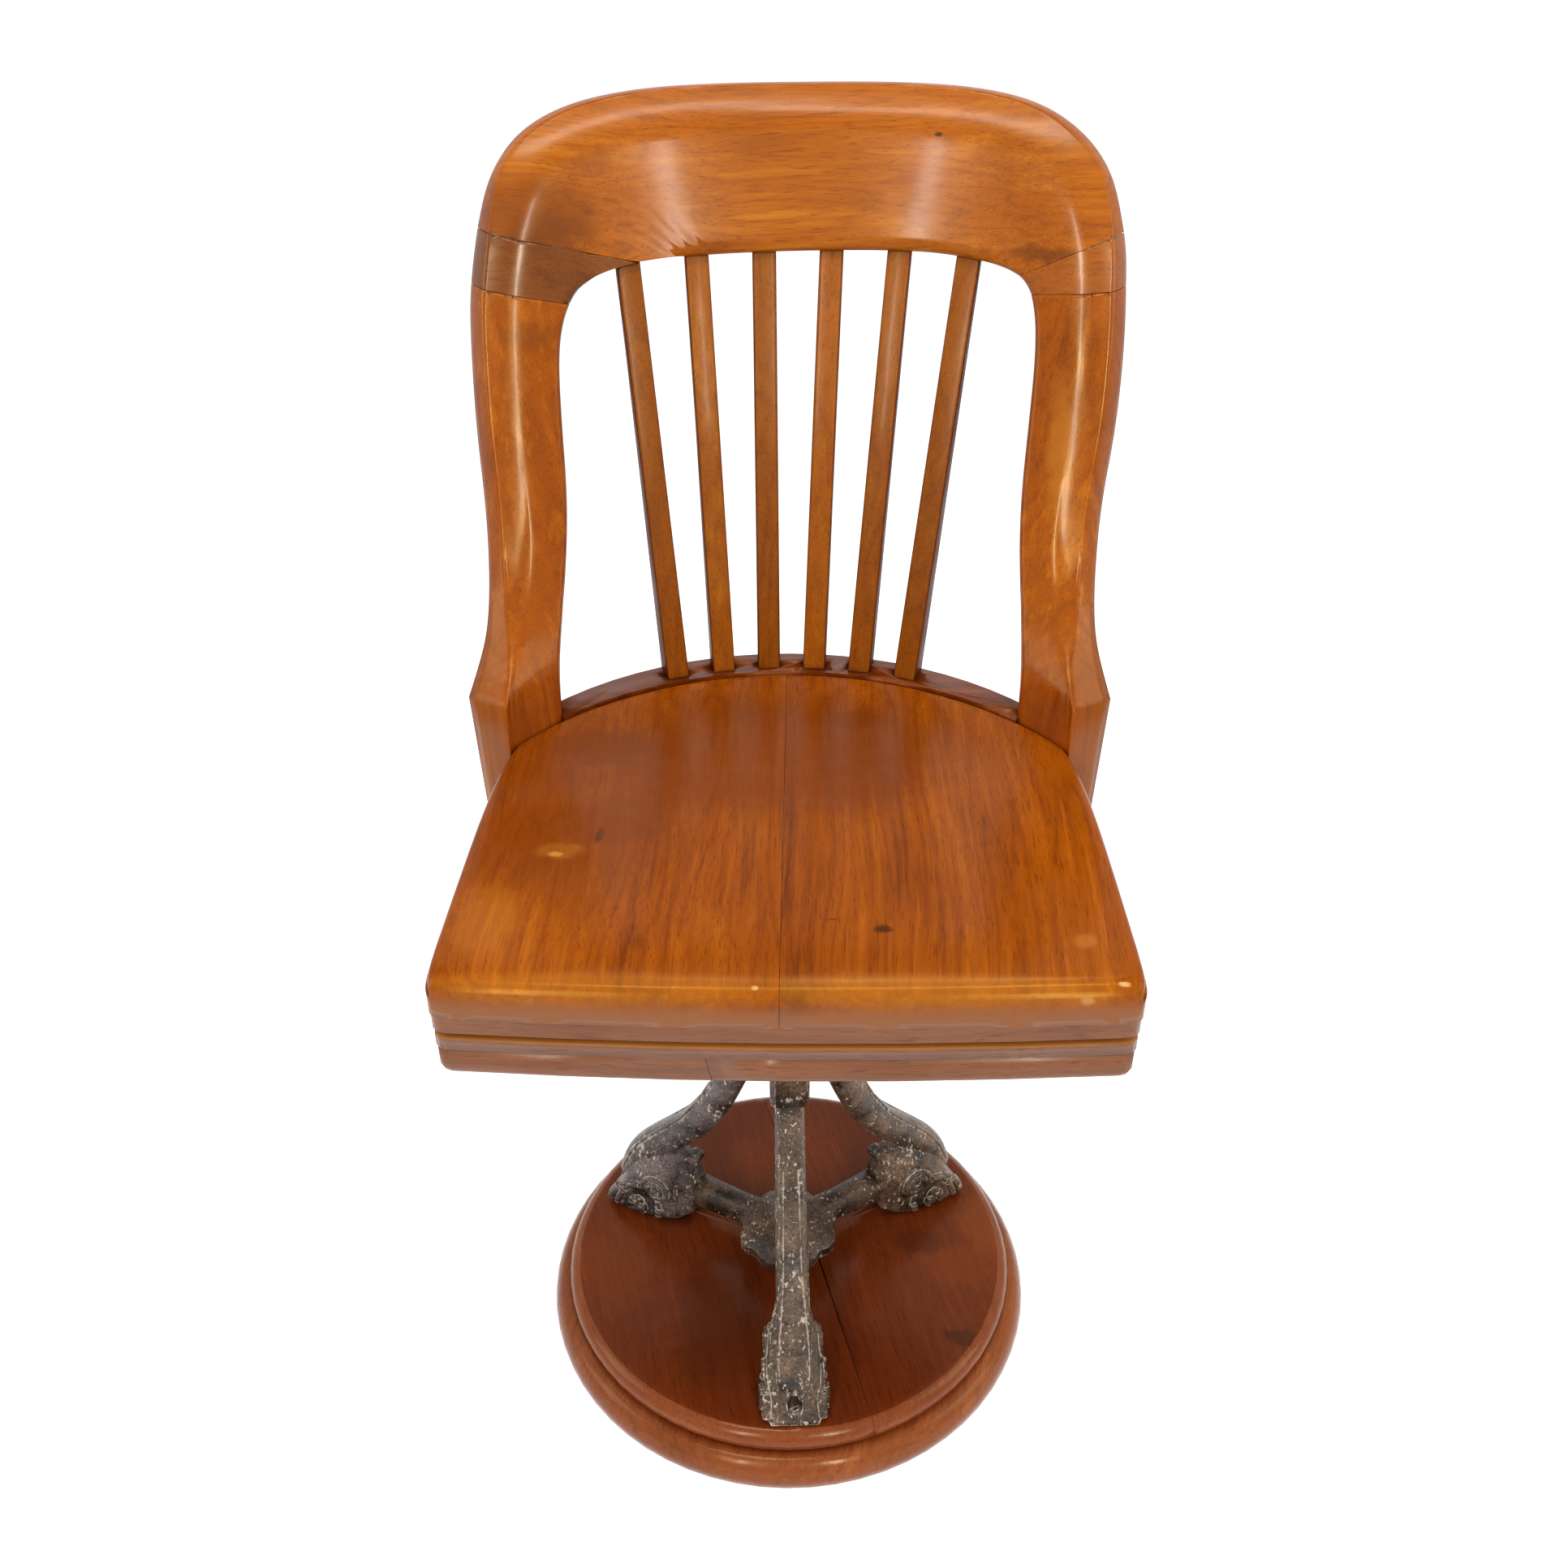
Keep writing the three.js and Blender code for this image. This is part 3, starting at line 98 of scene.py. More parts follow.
floor_width, floor_level = 40, -0.0002
floor_grey, floor_glow = 0.86, 0.72
bpy.ops.object.select_all(action="DESELECT")
bpy.ops.mesh.primitive_plane_add(size=floor_width, location=(0, 0, floor_level))
floor = bpy.context.object
floor.name = "floor"
floor_finish = bpy.data.materials.new("floor_paint")
floor_finish.use_nodes = True
tree = floor_finish.node_tree
tree.nodes.clear()
paint = put(tree, "ShaderNodeBsdfDiffuse", None, {"Color": (floor_grey, floor_grey, floor_grey, 1)})
strength = reckon(tree, "MULTIPLY", seen_directly(tree), floor_glow)
glow = put(tree, "ShaderNodeEmission", None, {"Color": (1, 1, 1, 1), "Strength": strength})
lit = put(tree, "ShaderNodeAddShader", None, {0: paint.outputs[0], 1: glow.outputs[0]})
put(tree, "ShaderNodeOutputMaterial", None, {"Surface": lit.outputs[0]})
floor.data.materials.append(floor_finish)

# Room and lamps: a pale room that shows white and lights the chair a little
# from all round, and soft lamps overhead, at both sides, in front and behind.
room_light, room_seen = 0.34, 1.0
room = bpy.data.worlds.new("room")
room.use_nodes = True
tree = room.node_tree
walls = tree.nodes["Background"]
walls.inputs["Color"].default_value = (1, 1, 1, 1)
bright = put(tree, "ShaderNodeMapRange", None, {
    "Value": seen_directly(tree), "To Min": room_light, "To Max": room_seen})
tree.links.new(bright.outputs[0], walls.inputs["Strength"])
scene.world = room
white, warm_white = (1, 1, 1), (1, 0.97, 0.93)
for name, place, aim, size, watts, tint in (
    ("lamp_overhead", (0.1, -0.25, 2.5), (0, 0.05, 0.5), (1.4, 0.2), 18, warm_white),
    ("lamp_left", (-2.0, -0.2, 1.5), (0, 0, 0.6), (0.9, 1.3), 8, white),
    ("lamp_right", (2.0, -0.2, 1.6), (0, 0, 0.6), (0.9, 1.3), 9, white),
    ("lamp_front_left", (-0.64, -1.77, 1.7), (0, 0.1, 0.7), (0.1, 0.85), 14, white),
    ("lamp_front_right", (0.66, -1.77, 1.7), (0, 0.1, 0.7), (0.1, 0.85), 14, white),
    ("lamp_rear", (0.3, 1.5, 3.2), (0, 0.2, 0.8), (1.2, 0.5), 10, white),
):
    lamp = bpy.data.lights.new(name, "AREA")
    lamp.shape = "RECTANGLE"
    lamp.size, lamp.size_y = size
    lamp.energy = watts
    lamp.color = tint
    holder = bpy.data.objects.new(name, lamp)
    holder.location = place
    holder.rotation_euler = (Vector(aim) - Vector(place)).to_track_quat("-Z", "Y").to_euler()
    scene.collection.objects.link(holder)


# Plinth: a lower disc of solid red-brown wood with a rounded rim, and a thinner
# tier on it, glued from two boards along a seam and varnished.
def smooth_piece(node, body, crease, rounding=0.0, levels=0):
    """A smooth piece in the place of a solid: its facets are joined, and its
    arrises are eased or the curves between them subdivided."""
    weld, join = 0.00002, radians(35)
    piece = bpy.data.objects.new(node + "_piece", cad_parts[node].data.copy())
    piece.data.materials.clear()
    scene.collection.objects.link(piece)
    bpy.ops.object.select_all(action="DESELECT")
    bpy.context.view_layer.objects.active = piece
    piece.select_set(True)
    bpy.ops.object.mode_set(mode="EDIT")
    bpy.ops.mesh.select_all(action="SELECT")
    bpy.ops.mesh.remove_doubles(threshold=weld)
    bpy.ops.mesh.tris_convert_to_quads(face_threshold=join, shape_threshold=join)
    bpy.ops.mesh.select_all(action="DESELECT")
    bpy.ops.object.mode_set(mode="OBJECT")
    if rounding:
        ease = piece.modifiers.new("eased_arris", "BEVEL")
        ease.width = rounding
        ease.segments = 2
        ease.limit_method = "ANGLE"
        ease.angle_limit = radians(crease)
        bpy.ops.object.modifier_apply(modifier=ease.name)
    if levels:
        sharp = piece.data.attributes.new("crease_edge", "FLOAT", "EDGE")
        sides = {}
        for face in piece.data.polygons:
            for key in face.edge_keys:
                sides.setdefault(key, []).append(face.normal)
        for edge in piece.data.edges:
            beside = sides.get(tuple(sorted(edge.vertices)), [])
            if len(beside) == 2 and beside[0].angle(beside[1], 0) > radians(crease):
                sharp.data[edge.index].value = 1
        curve = piece.modifiers.new("curves", "SUBSURF")
        curve.levels = curve.render_levels = levels
        bpy.ops.object.modifier_apply(modifier=curve.name)
    bpy.ops.object.shade_smooth_by_angle(angle=radians(crease))
    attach(piece, body)
    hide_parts(node)
    return piece


def new_finish(name):
    """A finish to fill in: its material, its nodes, its surface, and where on
    the piece a spot lies, in metres."""
    finish = bpy.data.materials.new(name)
    finish.use_nodes = True
    tree = finish.node_tree
    where = put(tree, "ShaderNodeTexCoord").outputs["Object"]
    return finish, tree, tree.nodes["Principled BSDF"], where


def noise(tree, where, scale, detail, roughness=0.5, output="Fac"):
    """Cloudy noise of so many waves per metre, broken up by finer detail."""
    return put(tree, "ShaderNodeTexNoise", None, {
        "Vector": where, "Scale": scale, "Detail": detail, "Roughness": roughness}).outputs[output]


def wander(tree, where, scale, detail, roughness=0.5):
    """Cloudy noise in all three directions, as much to one side as the other."""
    cloud = noise(tree, where, scale, detail, roughness, "Color")
    return reckon(tree, "SUBTRACT", cloud, (0.5, 0.5, 0.5), kind="VectorMath")


def graded(tree, value, span, levels):
    """A value whose span runs from one level to the other, held at both ends."""
    return put(tree, "ShaderNodeMapRange", None, {
        "Value": value, "From Min": span[0], "From Max": span[1],
        "To Min": levels[0], "To Max": levels[1]}).outputs[0]


def relief(tree, height, strength, distance, under=None):
    """Fine unevenness of a surface, laid over a coarser one if there is one."""
    sockets = {"Height": height, "Strength": strength, "Distance": distance}
    if under is not None:
        sockets["Normal"] = under
    return put(tree, "ShaderNodeBump", None, sockets).outputs[0]


def ramp(tree, factor, stops):
    """A colour that runs softly through stops, each a place and its colour."""
    made = put(tree, "ShaderNodeValToRGB", None, {"Fac": factor})
    made.color_ramp.interpolation = "EASE"
    elements = made.color_ramp.elements
    while len(elements) < len(stops):
        elements.new(0.5)
    for element, (place, colour) in zip(elements, stops):
        element.position = place
        element.color = (*colour, 1)
    return made.outputs["Color"]


def blend_colour(tree, factor, first, second, mode="MIX"):
    """Two colours blended by a factor, each a socket or red, green and blue."""
    first, second = ((*each, 1) if isinstance(each, tuple) else each for each in (first, second))
    return put(tree, "ShaderNodeMix", {"data_type": "RGBA", "blend_type": mode},
               {0: factor, 6: first, 7: second}).outputs[2]


def stretched(tree, where, grain, along, across):
    """Coordinates drawn out along the grain, in waves per metre."""
    scale = [across] * 3
    scale["xyz".index(grain)] = along
    return put(tree, "ShaderNodeMapping", None, {"Vector": where, "Scale": scale}).outputs[0]


def spots(tree, colour, where, places):
    """Stains, dents and worn places, and also painted highlight, reflection and
    shade: each has a middle, a reach along x, y and z, a colour, a strength and
    how ragged its edge is."""
    rag = wander(tree, where, 70, 4, 0.6)
    for middle, reach, tint, strength, ragged in places:
        moved = reckon(tree, "MULTIPLY_ADD", rag, [ragged] * 3, where, kind="VectorMath")
        away = reckon(tree, "SUBTRACT", moved, middle, kind="VectorMath")
        near = reckon(tree, "DIVIDE", away, reach, kind="VectorMath")
        length = reckon(tree, "LENGTH", near, kind="VectorMath", output="Value")
        inside = put(tree, "ShaderNodeMapRange", {"interpolation_type": "SMOOTHSTEP"}, {
            "Value": length, "From Min": 1.0, "From Max": 0.45,
            "To Min": 0.0, "To Max": strength}).outputs[0]
        colour = blend_colour(tree, inside, colour, tint)
    return colour


def varnished_wood(name, grain, tones, turn=0.0, shift=(0, 0, 0), figure=1.0, contrast=1.0,
                   gloss=0.3, coat=0.1, shine=0.22, glint=(1, 0.8, 0.5), places=()):
    """Varnished hardwood: growth rings in long loops, straight streaks and fine
    dark pores along the grain, under a satin varnish that has worn unevenly,
    with painted shade that darkens it in creases and corners."""
    ring_count, sway_width, crevice_shade_reach, coat_roughness = 17, 0.02, 0.012, 0.12
    finish, tree, surface, where = new_finish(name)
    placed = put(tree, "ShaderNodeMapping", None, {
        "Vector": where, "Location": shift, "Rotation": (0, 0, turn)}).outputs[0]
    sway = wander(tree, placed, 4, 1)
    placed = reckon(tree, "MULTIPLY_ADD", sway, [sway_width] * 3, placed, kind="VectorMath")

    light, middle, dark = tones
    broad = noise(tree, stretched(tree, placed, grain, figure, 17 * figure), 1, 2, 0.45)
    streak = noise(tree, stretched(tree, placed, grain, 4, 150), 1, 4, 0.6)
    mixed = put(tree, "ShaderNodeMix", None, {"Factor": 0.55, "A": broad, "B": streak}).outputs[0]
    spread = 0.15 / contrast
    colour = ramp(tree, mixed, ((0.5 - spread, dark), (0.5, middle), (0.5 + spread, light)))

    ring = reckon(tree, "FRACT", reckon(tree, "MULTIPLY_ADD", broad, ring_count, streak))
    ringed = ramp(tree, ring, ((0.0, (0.7, 0.6, 0.52)), (0.22, (0.97, 0.95, 0.93)),
                               (0.7, (1.05, 1.04, 1.02)), (1.0, (0.72, 0.62, 0.55))))
    colour = blend_colour(tree, 0.75 * contrast, colour, ringed, "MULTIPLY")
    pore = noise(tree, stretched(tree, placed, grain, 45, 1100), 1, 2, 0.6)
    porous = ramp(tree, pore, ((0.33, (0.45, 0.36, 0.3)), (0.45, (1, 1, 1)),
                               (0.72, (1.08, 1.06, 1.04))))
    colour = blend_colour(tree, 0.6, colour, porous, "MULTIPLY")
    cloud = noise(tree, placed, 8, 3)
    clouded = ramp(tree, cloud, ((0.3, (0.8, 0.74, 0.7)), (0.5, (1, 1, 1)),
                                 (0.72, (1.1, 1.12, 1.08))))
    colour = blend_colour(tree, 0.7, colour, clouded, "MULTIPLY")
    colour = spots(tree, colour, where, places)
    # Painted shade: an occlusion test darkens the wood within 12 mm of other surfaces, in creases,
    # corners and joints.
    open_air = put(tree, "ShaderNodeAmbientOcclusion", {"samples": 4}, {"Distance": crevice_shade_reach})
    painted_crevice_shade = ramp(tree, open_air.outputs["AO"], ((0.25, (0.3, 0.22, 0.18)), (0.75, (1, 1, 1))))
    colour = blend_colour(tree, 0.8, colour, painted_crevice_shade, "MULTIPLY")
    tree.links.new(colour, surface.inputs["Base Color"])

    worn = noise(tree, where, 22, 4)
    rough = graded(tree, worn, (0.3, 0.75), (gloss - 0.04, gloss + 0.14))
    tree.links.new(rough, surface.inputs["Roughness"])
    wave = noise(tree, stretched(tree, placed, grain, 6, 45), 1, 2)
    waved = relief(tree, wave, 0.2, 0.001)
    tree.links.new(relief(tree, pore, 0.25, 0.0002, waved), surface.inputs["Normal"])
    tree.links.new(waved, surface.inputs["Coat Normal"])
    surface.inputs["Coat Weight"].default_value = coat
    surface.inputs["Coat Roughness"].default_value = coat_roughness
    surface.inputs["Specular IOR Level"].default_value = shine
    surface.inputs["Specular Tint"].default_value = (*glint, 1)
    return finish


disc_tones = ((0.44, 0.125, 0.030), (0.30, 0.072, 0.018), (0.16, 0.034, 0.010))
board_tones = ((0.26, 0.052, 0.010), (0.165, 0.029, 0.006), (0.09, 0.016, 0.004))
rim_tones = ((0.38, 0.100, 0.024), (0.27, 0.060, 0.014), (0.16, 0.032, 0.009))
plinth_disc = smooth_piece("plinth_lower_disc", "stand", crease=40)
plinth_disc.data.materials.append(varnished_wood(
    "plinth_disc_varnish", "y", disc_tones, turn=0.2, contrast=0.5,
    gloss=0.16, shine=0.25, glint=(1, 0.75, 0.4)))
stand_axis = Vector((-0.0008, -0.006, 0))
seam_turn = radians(14.8)
rim_foot, board_top, rim_inside, rim_widening = 0.038, 0.048, 0.17, 0.008
rim_slope, rim_inside_squared = 0.985, 0.03
plinth_marks_and_shadow = {
    "left": (((-0.149, -0.024, 0.048), (0.045, 0.07, 0.02), (0.30, 0.062, 0.010), 0.25, 0.05),
             # Painted shadow: a large dark patch on this board just left of the front foot.
             ((-0.06, -0.075, 0.048), (0.05, 0.09, 0.02), (0.075, 0.016, 0.005), 0.6, 0.04),
             ((-0.10, 0.03, 0.048), (0.02, 0.014, 0.02), (0.06, 0.013, 0.005), 0.6, 0.02)),
    "right": (((0.175, 0.03, 0.048), (0.03, 0.05, 0.02), (0.34, 0.08, 0.012), 0.4, 0.03),
              ((0.147, -0.021, 0.048), (0.05, 0.03, 0.02), (0.30, 0.060, 0.010), 0.28, 0.03),
              ((0.146, -0.094, 0.048), (0.022, 0.012, 0.02), (0.05, 0.012, 0.005), 0.6, 0.02),
              ((0.113, 0.005, 0.048), (0.026, 0.018, 0.02), (0.08, 0.017, 0.005), 0.6, 0.02),
              ((0.05, -0.13, 0.048), (0.012, 0.07, 0.02), (0.085, 0.016, 0.005), 0.6, 0.012)),
}
for side, shift in (("left", (0.31, 0.12, 0)), ("right", (-0.27, 0.4, 0))):
    board = smooth_piece("plinth_top_board_" + side, "stand", crease=40)
    for vertex in board.data.vertices:
        height = (vertex.co.z - rim_foot) / (board_top - rim_foot)
        reach = Vector((vertex.co.x - stand_axis.x, vertex.co.y - stand_axis.y, 0))
        if height > 0.01 and reach.length > rim_inside:
            level = 1 - max(0, 1 - min(1, height) ** 2) ** 0.5
            vertex.co -= reach.normalized() * rim_widening * level
    board.data.materials.append(varnished_wood(
        "plinth_board_varnish_" + side, "y", board_tones, turn=-seam_turn, shift=shift,
        contrast=0.4, gloss=0.17, coat=0.04, shine=0.15, places=plinth_marks_and_shadow[side]))
    board.data.materials.append(varnished_wood(
        "plinth_rim_varnish_" + side, "y", rim_tones, turn=-seam_turn, shift=shift,
        contrast=0.4, gloss=0.15, coat=0.1, shine=0.25))
    for face in board.data.polygons:
        away = (face.center.x - stand_axis.x) ** 2 + (face.center.y - stand_axis.y) ** 2
        if face.normal.z < rim_slope and away > rim_inside_squared:
            face.material_index = 1


# Legs: three cast iron legs, screwed to the plinth by their toes and bolted to
# the hub. Their old dark paint has chipped along the ridges to a cream below.
def old_iron(name, tint, worn_left=0.0):
    """Cast iron under old brown paint: cloudy, gritty, rubbed lighter along its
    ridges, and flaked there to a cream undercoat in many small chips."""
    rubbed_tint, cream_tint = (0.25, 0.19, 0.14), (0.68, 0.58, 0.46)
    finish, tree, surface, where = new_finish(name)
    cloud = noise(tree, where, 38, 5, 0.65)
    colour = ramp(tree, cloud, ((0.36, tuple(c * 0.22 for c in tint)), (0.5, tint),
                                (0.66, tuple(c * 2.0 for c in tint))))
    grit = noise(tree, where, 520, 4, 0.7)
    gritty = ramp(tree, grit, ((0.36, (0.3, 0.27, 0.24)), (0.5, (1, 1, 1)),
                               (0.66, (2.1, 2.0, 1.9))))
    colour = blend_colour(tree, 0.85, colour, gritty, "MULTIPLY")

    true = put(tree, "ShaderNodeNewGeometry").outputs["Normal"]
    eased = put(tree, "ShaderNodeBevel", {"samples": 6}, {"Radius": 0.0024}).outputs["Normal"]
    same = reckon(tree, "DOT_PRODUCT", true, eased, kind="VectorMath", output="Value")
    ridge = graded(tree, same, (0.985, 0.82), (0, 1))
    colour = blend_colour(tree, reckon(tree, "MULTIPLY", ridge, 0.4), colour, rubbed_tint)

    drawn = put(tree, "ShaderNodeMapping", None, {"Vector": where, "Scale": (1, 1, 0.5)})
    flake = noise(tree, drawn.outputs[0], 330, 5, 0.66)
    drift = noise(tree, where, 34, 2)
    likely = reckon(tree, "MULTIPLY_ADD", drift, 0.30, flake)
    likely = reckon(tree, "MULTIPLY_ADD", ridge, 0.19, likely)
    across = put(tree, "ShaderNodeSeparateXYZ", None, {"Vector": where}).outputs["X"]
    leftward = graded(tree, across, (-0.004, -0.013), (0, worn_left))
    cream = graded(tree, reckon(tree, "ADD", likely, leftward), (0.764, 0.776), (0, 1))
    colour = blend_colour(tree, cream, colour, cream_tint)
    tree.links.new(colour, surface.inputs["Base Color"])

    tree.links.new(graded(tree, cloud, (0.3, 0.8), (0.24, 0.5)), surface.inputs["Roughness"])
    surface.inputs["Specular IOR Level"].default_value = 0.3
    lumps = relief(tree, cloud, 0.9, 0.0035)
    grits = relief(tree, grit, 0.45, 0.0006, lumps)
    tree.links.new(relief(tree, cream, 0.7, 0.0005, grits), surface.inputs["Normal"])
    return finish


def raised_line(points, carrier, radius):
    """A raised line cast on the iron: a path drawn point by point, laid on the
    casting's surface, thickened, and joined to it."""
    bpy.ops.object.select_all(action="DESELECT")
    bpy.ops.mesh.primitive_plane_add(size=0.001, location=points[0])
    line = bpy.context.object
    bpy.ops.object.mode_set(mode="EDIT")
    bpy.ops.mesh.merge(type="CENTER")
    for here, there in zip(points, points[1:]):
        bpy.ops.mesh.extrude_region_move(TRANSFORM_OT_translate={"value": there - here})
    bpy.ops.object.mode_set(mode="OBJECT")
    bpy.ops.object.transform_apply(location=True, rotation=False, scale=False)
    lay = line.modifiers.new("laid_on", "SHRINKWRAP")
    lay.target = carrier
    bpy.ops.object.modifier_apply(modifier=lay.name)
    bpy.ops.object.convert(target="CURVE")
    line.data.bevel_depth = radius
    line.data.bevel_resolution = 2
    line.data.use_fill_caps = True
    bpy.ops.object.convert(target="MESH")
    bpy.ops.object.shade_smooth()
    carrier.select_set(True)
    bpy.context.view_layer.objects.active = carrier
    bpy.ops.object.join()


# On each leg two ridges run down the shaft and meet round the tongue on the toe.
# Each cheek of the foot has a scroll, with leaf ribs that fan out from it.
ridge_path = [(0.073, 0.225, 0.0095), (0.083, 0.2, 0.0095), (0.101, 0.172, 0.01),
              (0.122, 0.147, 0.0105), (0.14, 0.126, 0.0115), (0.151, 0.108, 0.012),
              (0.1585, 0.09, 0.0118), (0.1625, 0.079, 0.009), (0.165, 0.073, 0.005),
              (0.1658, 0.071, 0)]
ridge_radius, scroll_radius, rib_radius, rib_tip_radius = 0.0016, 0.0023, 0.0022, 0.0036
scroll_middle = Vector((0.1207, 0.0235, 0.0823))
scroll_steps, scroll_turn, scroll_reach, scroll_narrowing = 34, 0.38, 0.0145, 0.00036
scroll_path = []
for step in range(scroll_steps):
    turn = step * scroll_turn
    reach = scroll_reach - scroll_narrowing * step
    scroll_path.append(scroll_middle + Vector((reach * cos(turn), 0, reach * sin(turn))))
rib_foot, rib_width, rib_steps = 0.053, 0.024, 9
outward, downward = Vector((0.017, 0, 0)), Vector((0, 0, -0.016))
rib_paths = []
for toe, belly in ((0.170, 0.010), (0.160, 0.007), (0.147, 0.004), (0.133, 0.001), (0.119, -0.002)):
    start = scroll_middle + outward * (toe > 0.125) + downward * (toe < 0.15)
    end = Vector((toe, rib_width, rib_foot))
    middle = (start + end) / 2 + Vector((belly, 0, belly))
    shares = [step / rib_steps for step in range(rib_steps + 1)]
    rib_paths.append([start.lerp(middle, t).lerp(middle.lerp(end, t), t) for t in shares])
first_leg_turn = radians(-87.5)
leg_finishes = {
    "front": old_iron("old_painted_iron_front", (0.098, 0.062, 0.038), worn_left=0.07),
    "right": old_iron("old_painted_iron_right", (0.100, 0.063, 0.038)),
    "left": old_iron("old_painted_iron_left", (0.088, 0.066, 0.060)),
}
for count, side in enumerate(leg_finishes):
    leg = smooth_piece("leg_" + side, "stand", crease=50, levels=2)
    leg_turn = Matrix.Rotation(first_leg_turn + count * 2 * pi / 3, 4, "Z")
    place = Matrix.Translation(stand_axis) @ leg_turn
    ridge = [Vector((out, across, up)) for out, up, across in ridge_path]
    ridge += [Vector((point.x, -point.y, point.z)) for point in reversed(ridge[:-1])]
    raised_line([place @ point for point in ridge], leg, ridge_radius)
    for cheek in (-1, 1):
        scroll, *ribs = (
            [place @ Vector((point.x, cheek * point.y, point.z)) for point in path]
            for path in (scroll_path, *rib_paths))
        raised_line(scroll, leg, scroll_radius)
        for rib in ribs:
            raised_line(rib, leg, rib_radius)
            raised_line(rib[5:], leg, rib_tip_radius)
    leg.data.materials.clear()
    leg.data.materials.append(leg_finishes[side])
    bpy.ops.object.shade_smooth_by_angle(angle=radians(50))

# Spider, hub and seat iron: the cast spider ties the legs together low down, the
# hub takes the screw between their tops, and the four-armed iron holds the seat.
middle_iron = old_iron("old_painted_iron_middle", (0.074, 0.043, 0.025))
for node, body in (("leg_spider", "stand"), ("hub_socket", "stand"), ("seat_iron", "seat")):
    casting = smooth_piece(node, body, crease=40)
    casting.data.materials.append(middle_iron)


# Turned metal: the steel spindle, nut, bolts and screws, and the brass bush and
# washers. The foot screws were painted together with the legs.
def turned_metal(name, tint):
    """Turned metal that has gone dull in stains, its surface a little uneven."""
    dull, bright = 0.54, 0.34
    finish, tree, surface, where = new_finish(name)
    stain = noise(tree, where, 130, 5, 0.65)
    colour = ramp(tree, stain, ((0.3, tuple(c * 0.35 for c in tint)), (0.52, tint),
                                (0.75, tuple(c * 1.35 for c in tint))))
    tree.links.new(colour, surface.inputs["Base Color"])
    tree.links.new(graded(tree, stain, (0.3, 0.75), (dull, bright)), surface.inputs["Roughness"])
    tree.links.new(relief(tree, stain, 0.3, 0.0004), surface.inputs["Normal"])
    surface.inputs["Metallic"].default_value = 0.9
    return finish


def cut_slot(screw, node, head_up):
    """A screwdriver slot across the head, each screw stopped at its own turn."""
    slot_size = (0.016, 0.0013, 0.002)
    low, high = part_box(node)
    slot_level = high[2] if head_up else low[2]
    slot_middle = ((low[0] + high[0]) / 2, (low[1] + high[1]) / 2, slot_level)
    slot_turn = high[0] * 40
    bpy.ops.object.select_all(action="DESELECT")
    bpy.ops.mesh.primitive_cube_add(size=1, location=slot_middle, rotation=(0, 0, slot_turn),
                                    scale=slot_size)
    cutter = bpy.context.object
    bpy.context.view_layer.objects.active = screw
    slot = screw.modifiers.new("slot", "BOOLEAN")
    slot.object = cutter
    bpy.ops.object.modifier_apply(modifier=slot.name)
    bpy.data.objects.remove(cutter)
    bpy.ops.object.select_all(action="DESELECT")
    screw.select_set(True)
    bpy.ops.object.shade_smooth_by_angle(angle=radians(35))


def wind_thread(spindle):
    """The spindle's screw thread: its shaft is drawn in to the thread's core,
    and one ridge is wound round it from the lower end up to the collar."""
    core_radius, thread_radius, thread_pitch, thread_turns = 0.0096, 0.011, 0.0052, 37
    thread_foot, collar_foot = 0.205, 0.4031
    crest_half, root_half, root_sunk = 0.0008, 0.0021, 0.0006
    for vertex in spindle.data.vertices:
        away = Vector((vertex.co.x - stand_axis.x, vertex.co.y - stand_axis.y, 0))
        if vertex.co.z < collar_foot and 0.0105 < away.length < 0.0115:
            vertex.co -= away.normalized() * (away.length - core_radius)
    bpy.ops.object.select_all(action="DESELECT")
    bpy.ops.mesh.primitive_plane_add(size=0.002, rotation=(pi / 2, 0, 0),
                                     location=(stand_axis.x, stand_axis.y, thread_foot))
    thread = bpy.context.object
    bpy.ops.object.transform_apply(location=False, rotation=True, scale=False)
    for vertex in thread.data.vertices:
        outer, upper = vertex.co.x > 0, vertex.co.z > 0
        reach = thread_radius if outer else core_radius - root_sunk
        half = crest_half if outer else root_half
        vertex.co = (reach, 0, half if upper else -half)
    bpy.ops.object.mode_set(mode="EDIT")
    bpy.ops.mesh.select_all(action="SELECT")
    bpy.ops.mesh.delete(type="ONLY_FACE")
    bpy.ops.object.mode_set(mode="OBJECT")
    wound = thread.modifiers.new("wound", "SCREW")
    wound.angle = 2 * pi
    wound.screw_offset = thread_pitch
    wound.iterations = thread_turns
    wound.steps = wound.render_steps = 28
    bpy.ops.object.modifier_apply(modifier=wound.name)
    bpy.ops.object.mode_set(mode="EDIT")
    bpy.ops.mesh.select_all(action="SELECT")
    bpy.ops.mesh.fill_holes(sides=4)
    bpy.ops.mesh.select_all(action="SELECT")
    bpy.ops.mesh.normals_make_consistent(inside=False)
    bpy.ops.object.mode_set(mode="OBJECT")
    bpy.ops.object.transform_apply(location=True, rotation=False, scale=False)
    spindle.select_set(True)
    bpy.context.view_layer.objects.active = spindle
    bpy.ops.object.join()
    bpy.ops.object.shade_smooth_by_angle(angle=radians(35))


steel = turned_metal("dull_steel", (0.26, 0.25, 0.235))
brass = turned_metal("dull_brass", (0.42, 0.27, 0.09))
for node, body, metal in (
    *(("foot_screw_" + side, "stand", leg_finishes[side]) for side in leg_finishes),
    *(("hub_bolt_" + side, "stand", steel) for side in leg_finishes),
    ("thread_bush", "stand", brass),
    ("spindle_screw", "spindle", steel),
    ("thrust_washer", "spindle", brass),
    ("pivot_washer", "spindle", brass),
    ("pivot_nut", "spindle", steel),
    *(("seat_iron_screw_%d" % count, "seat", steel) for count in range(1, 5)),
):
    turned = smooth_piece(node, body, crease=35)
    if node == "spindle_screw":
        wind_thread(turned)
    elif "screw_" in node:
        cut_slot(turned, node, head_up=body == "stand")
    turned.data.materials.append(metal)
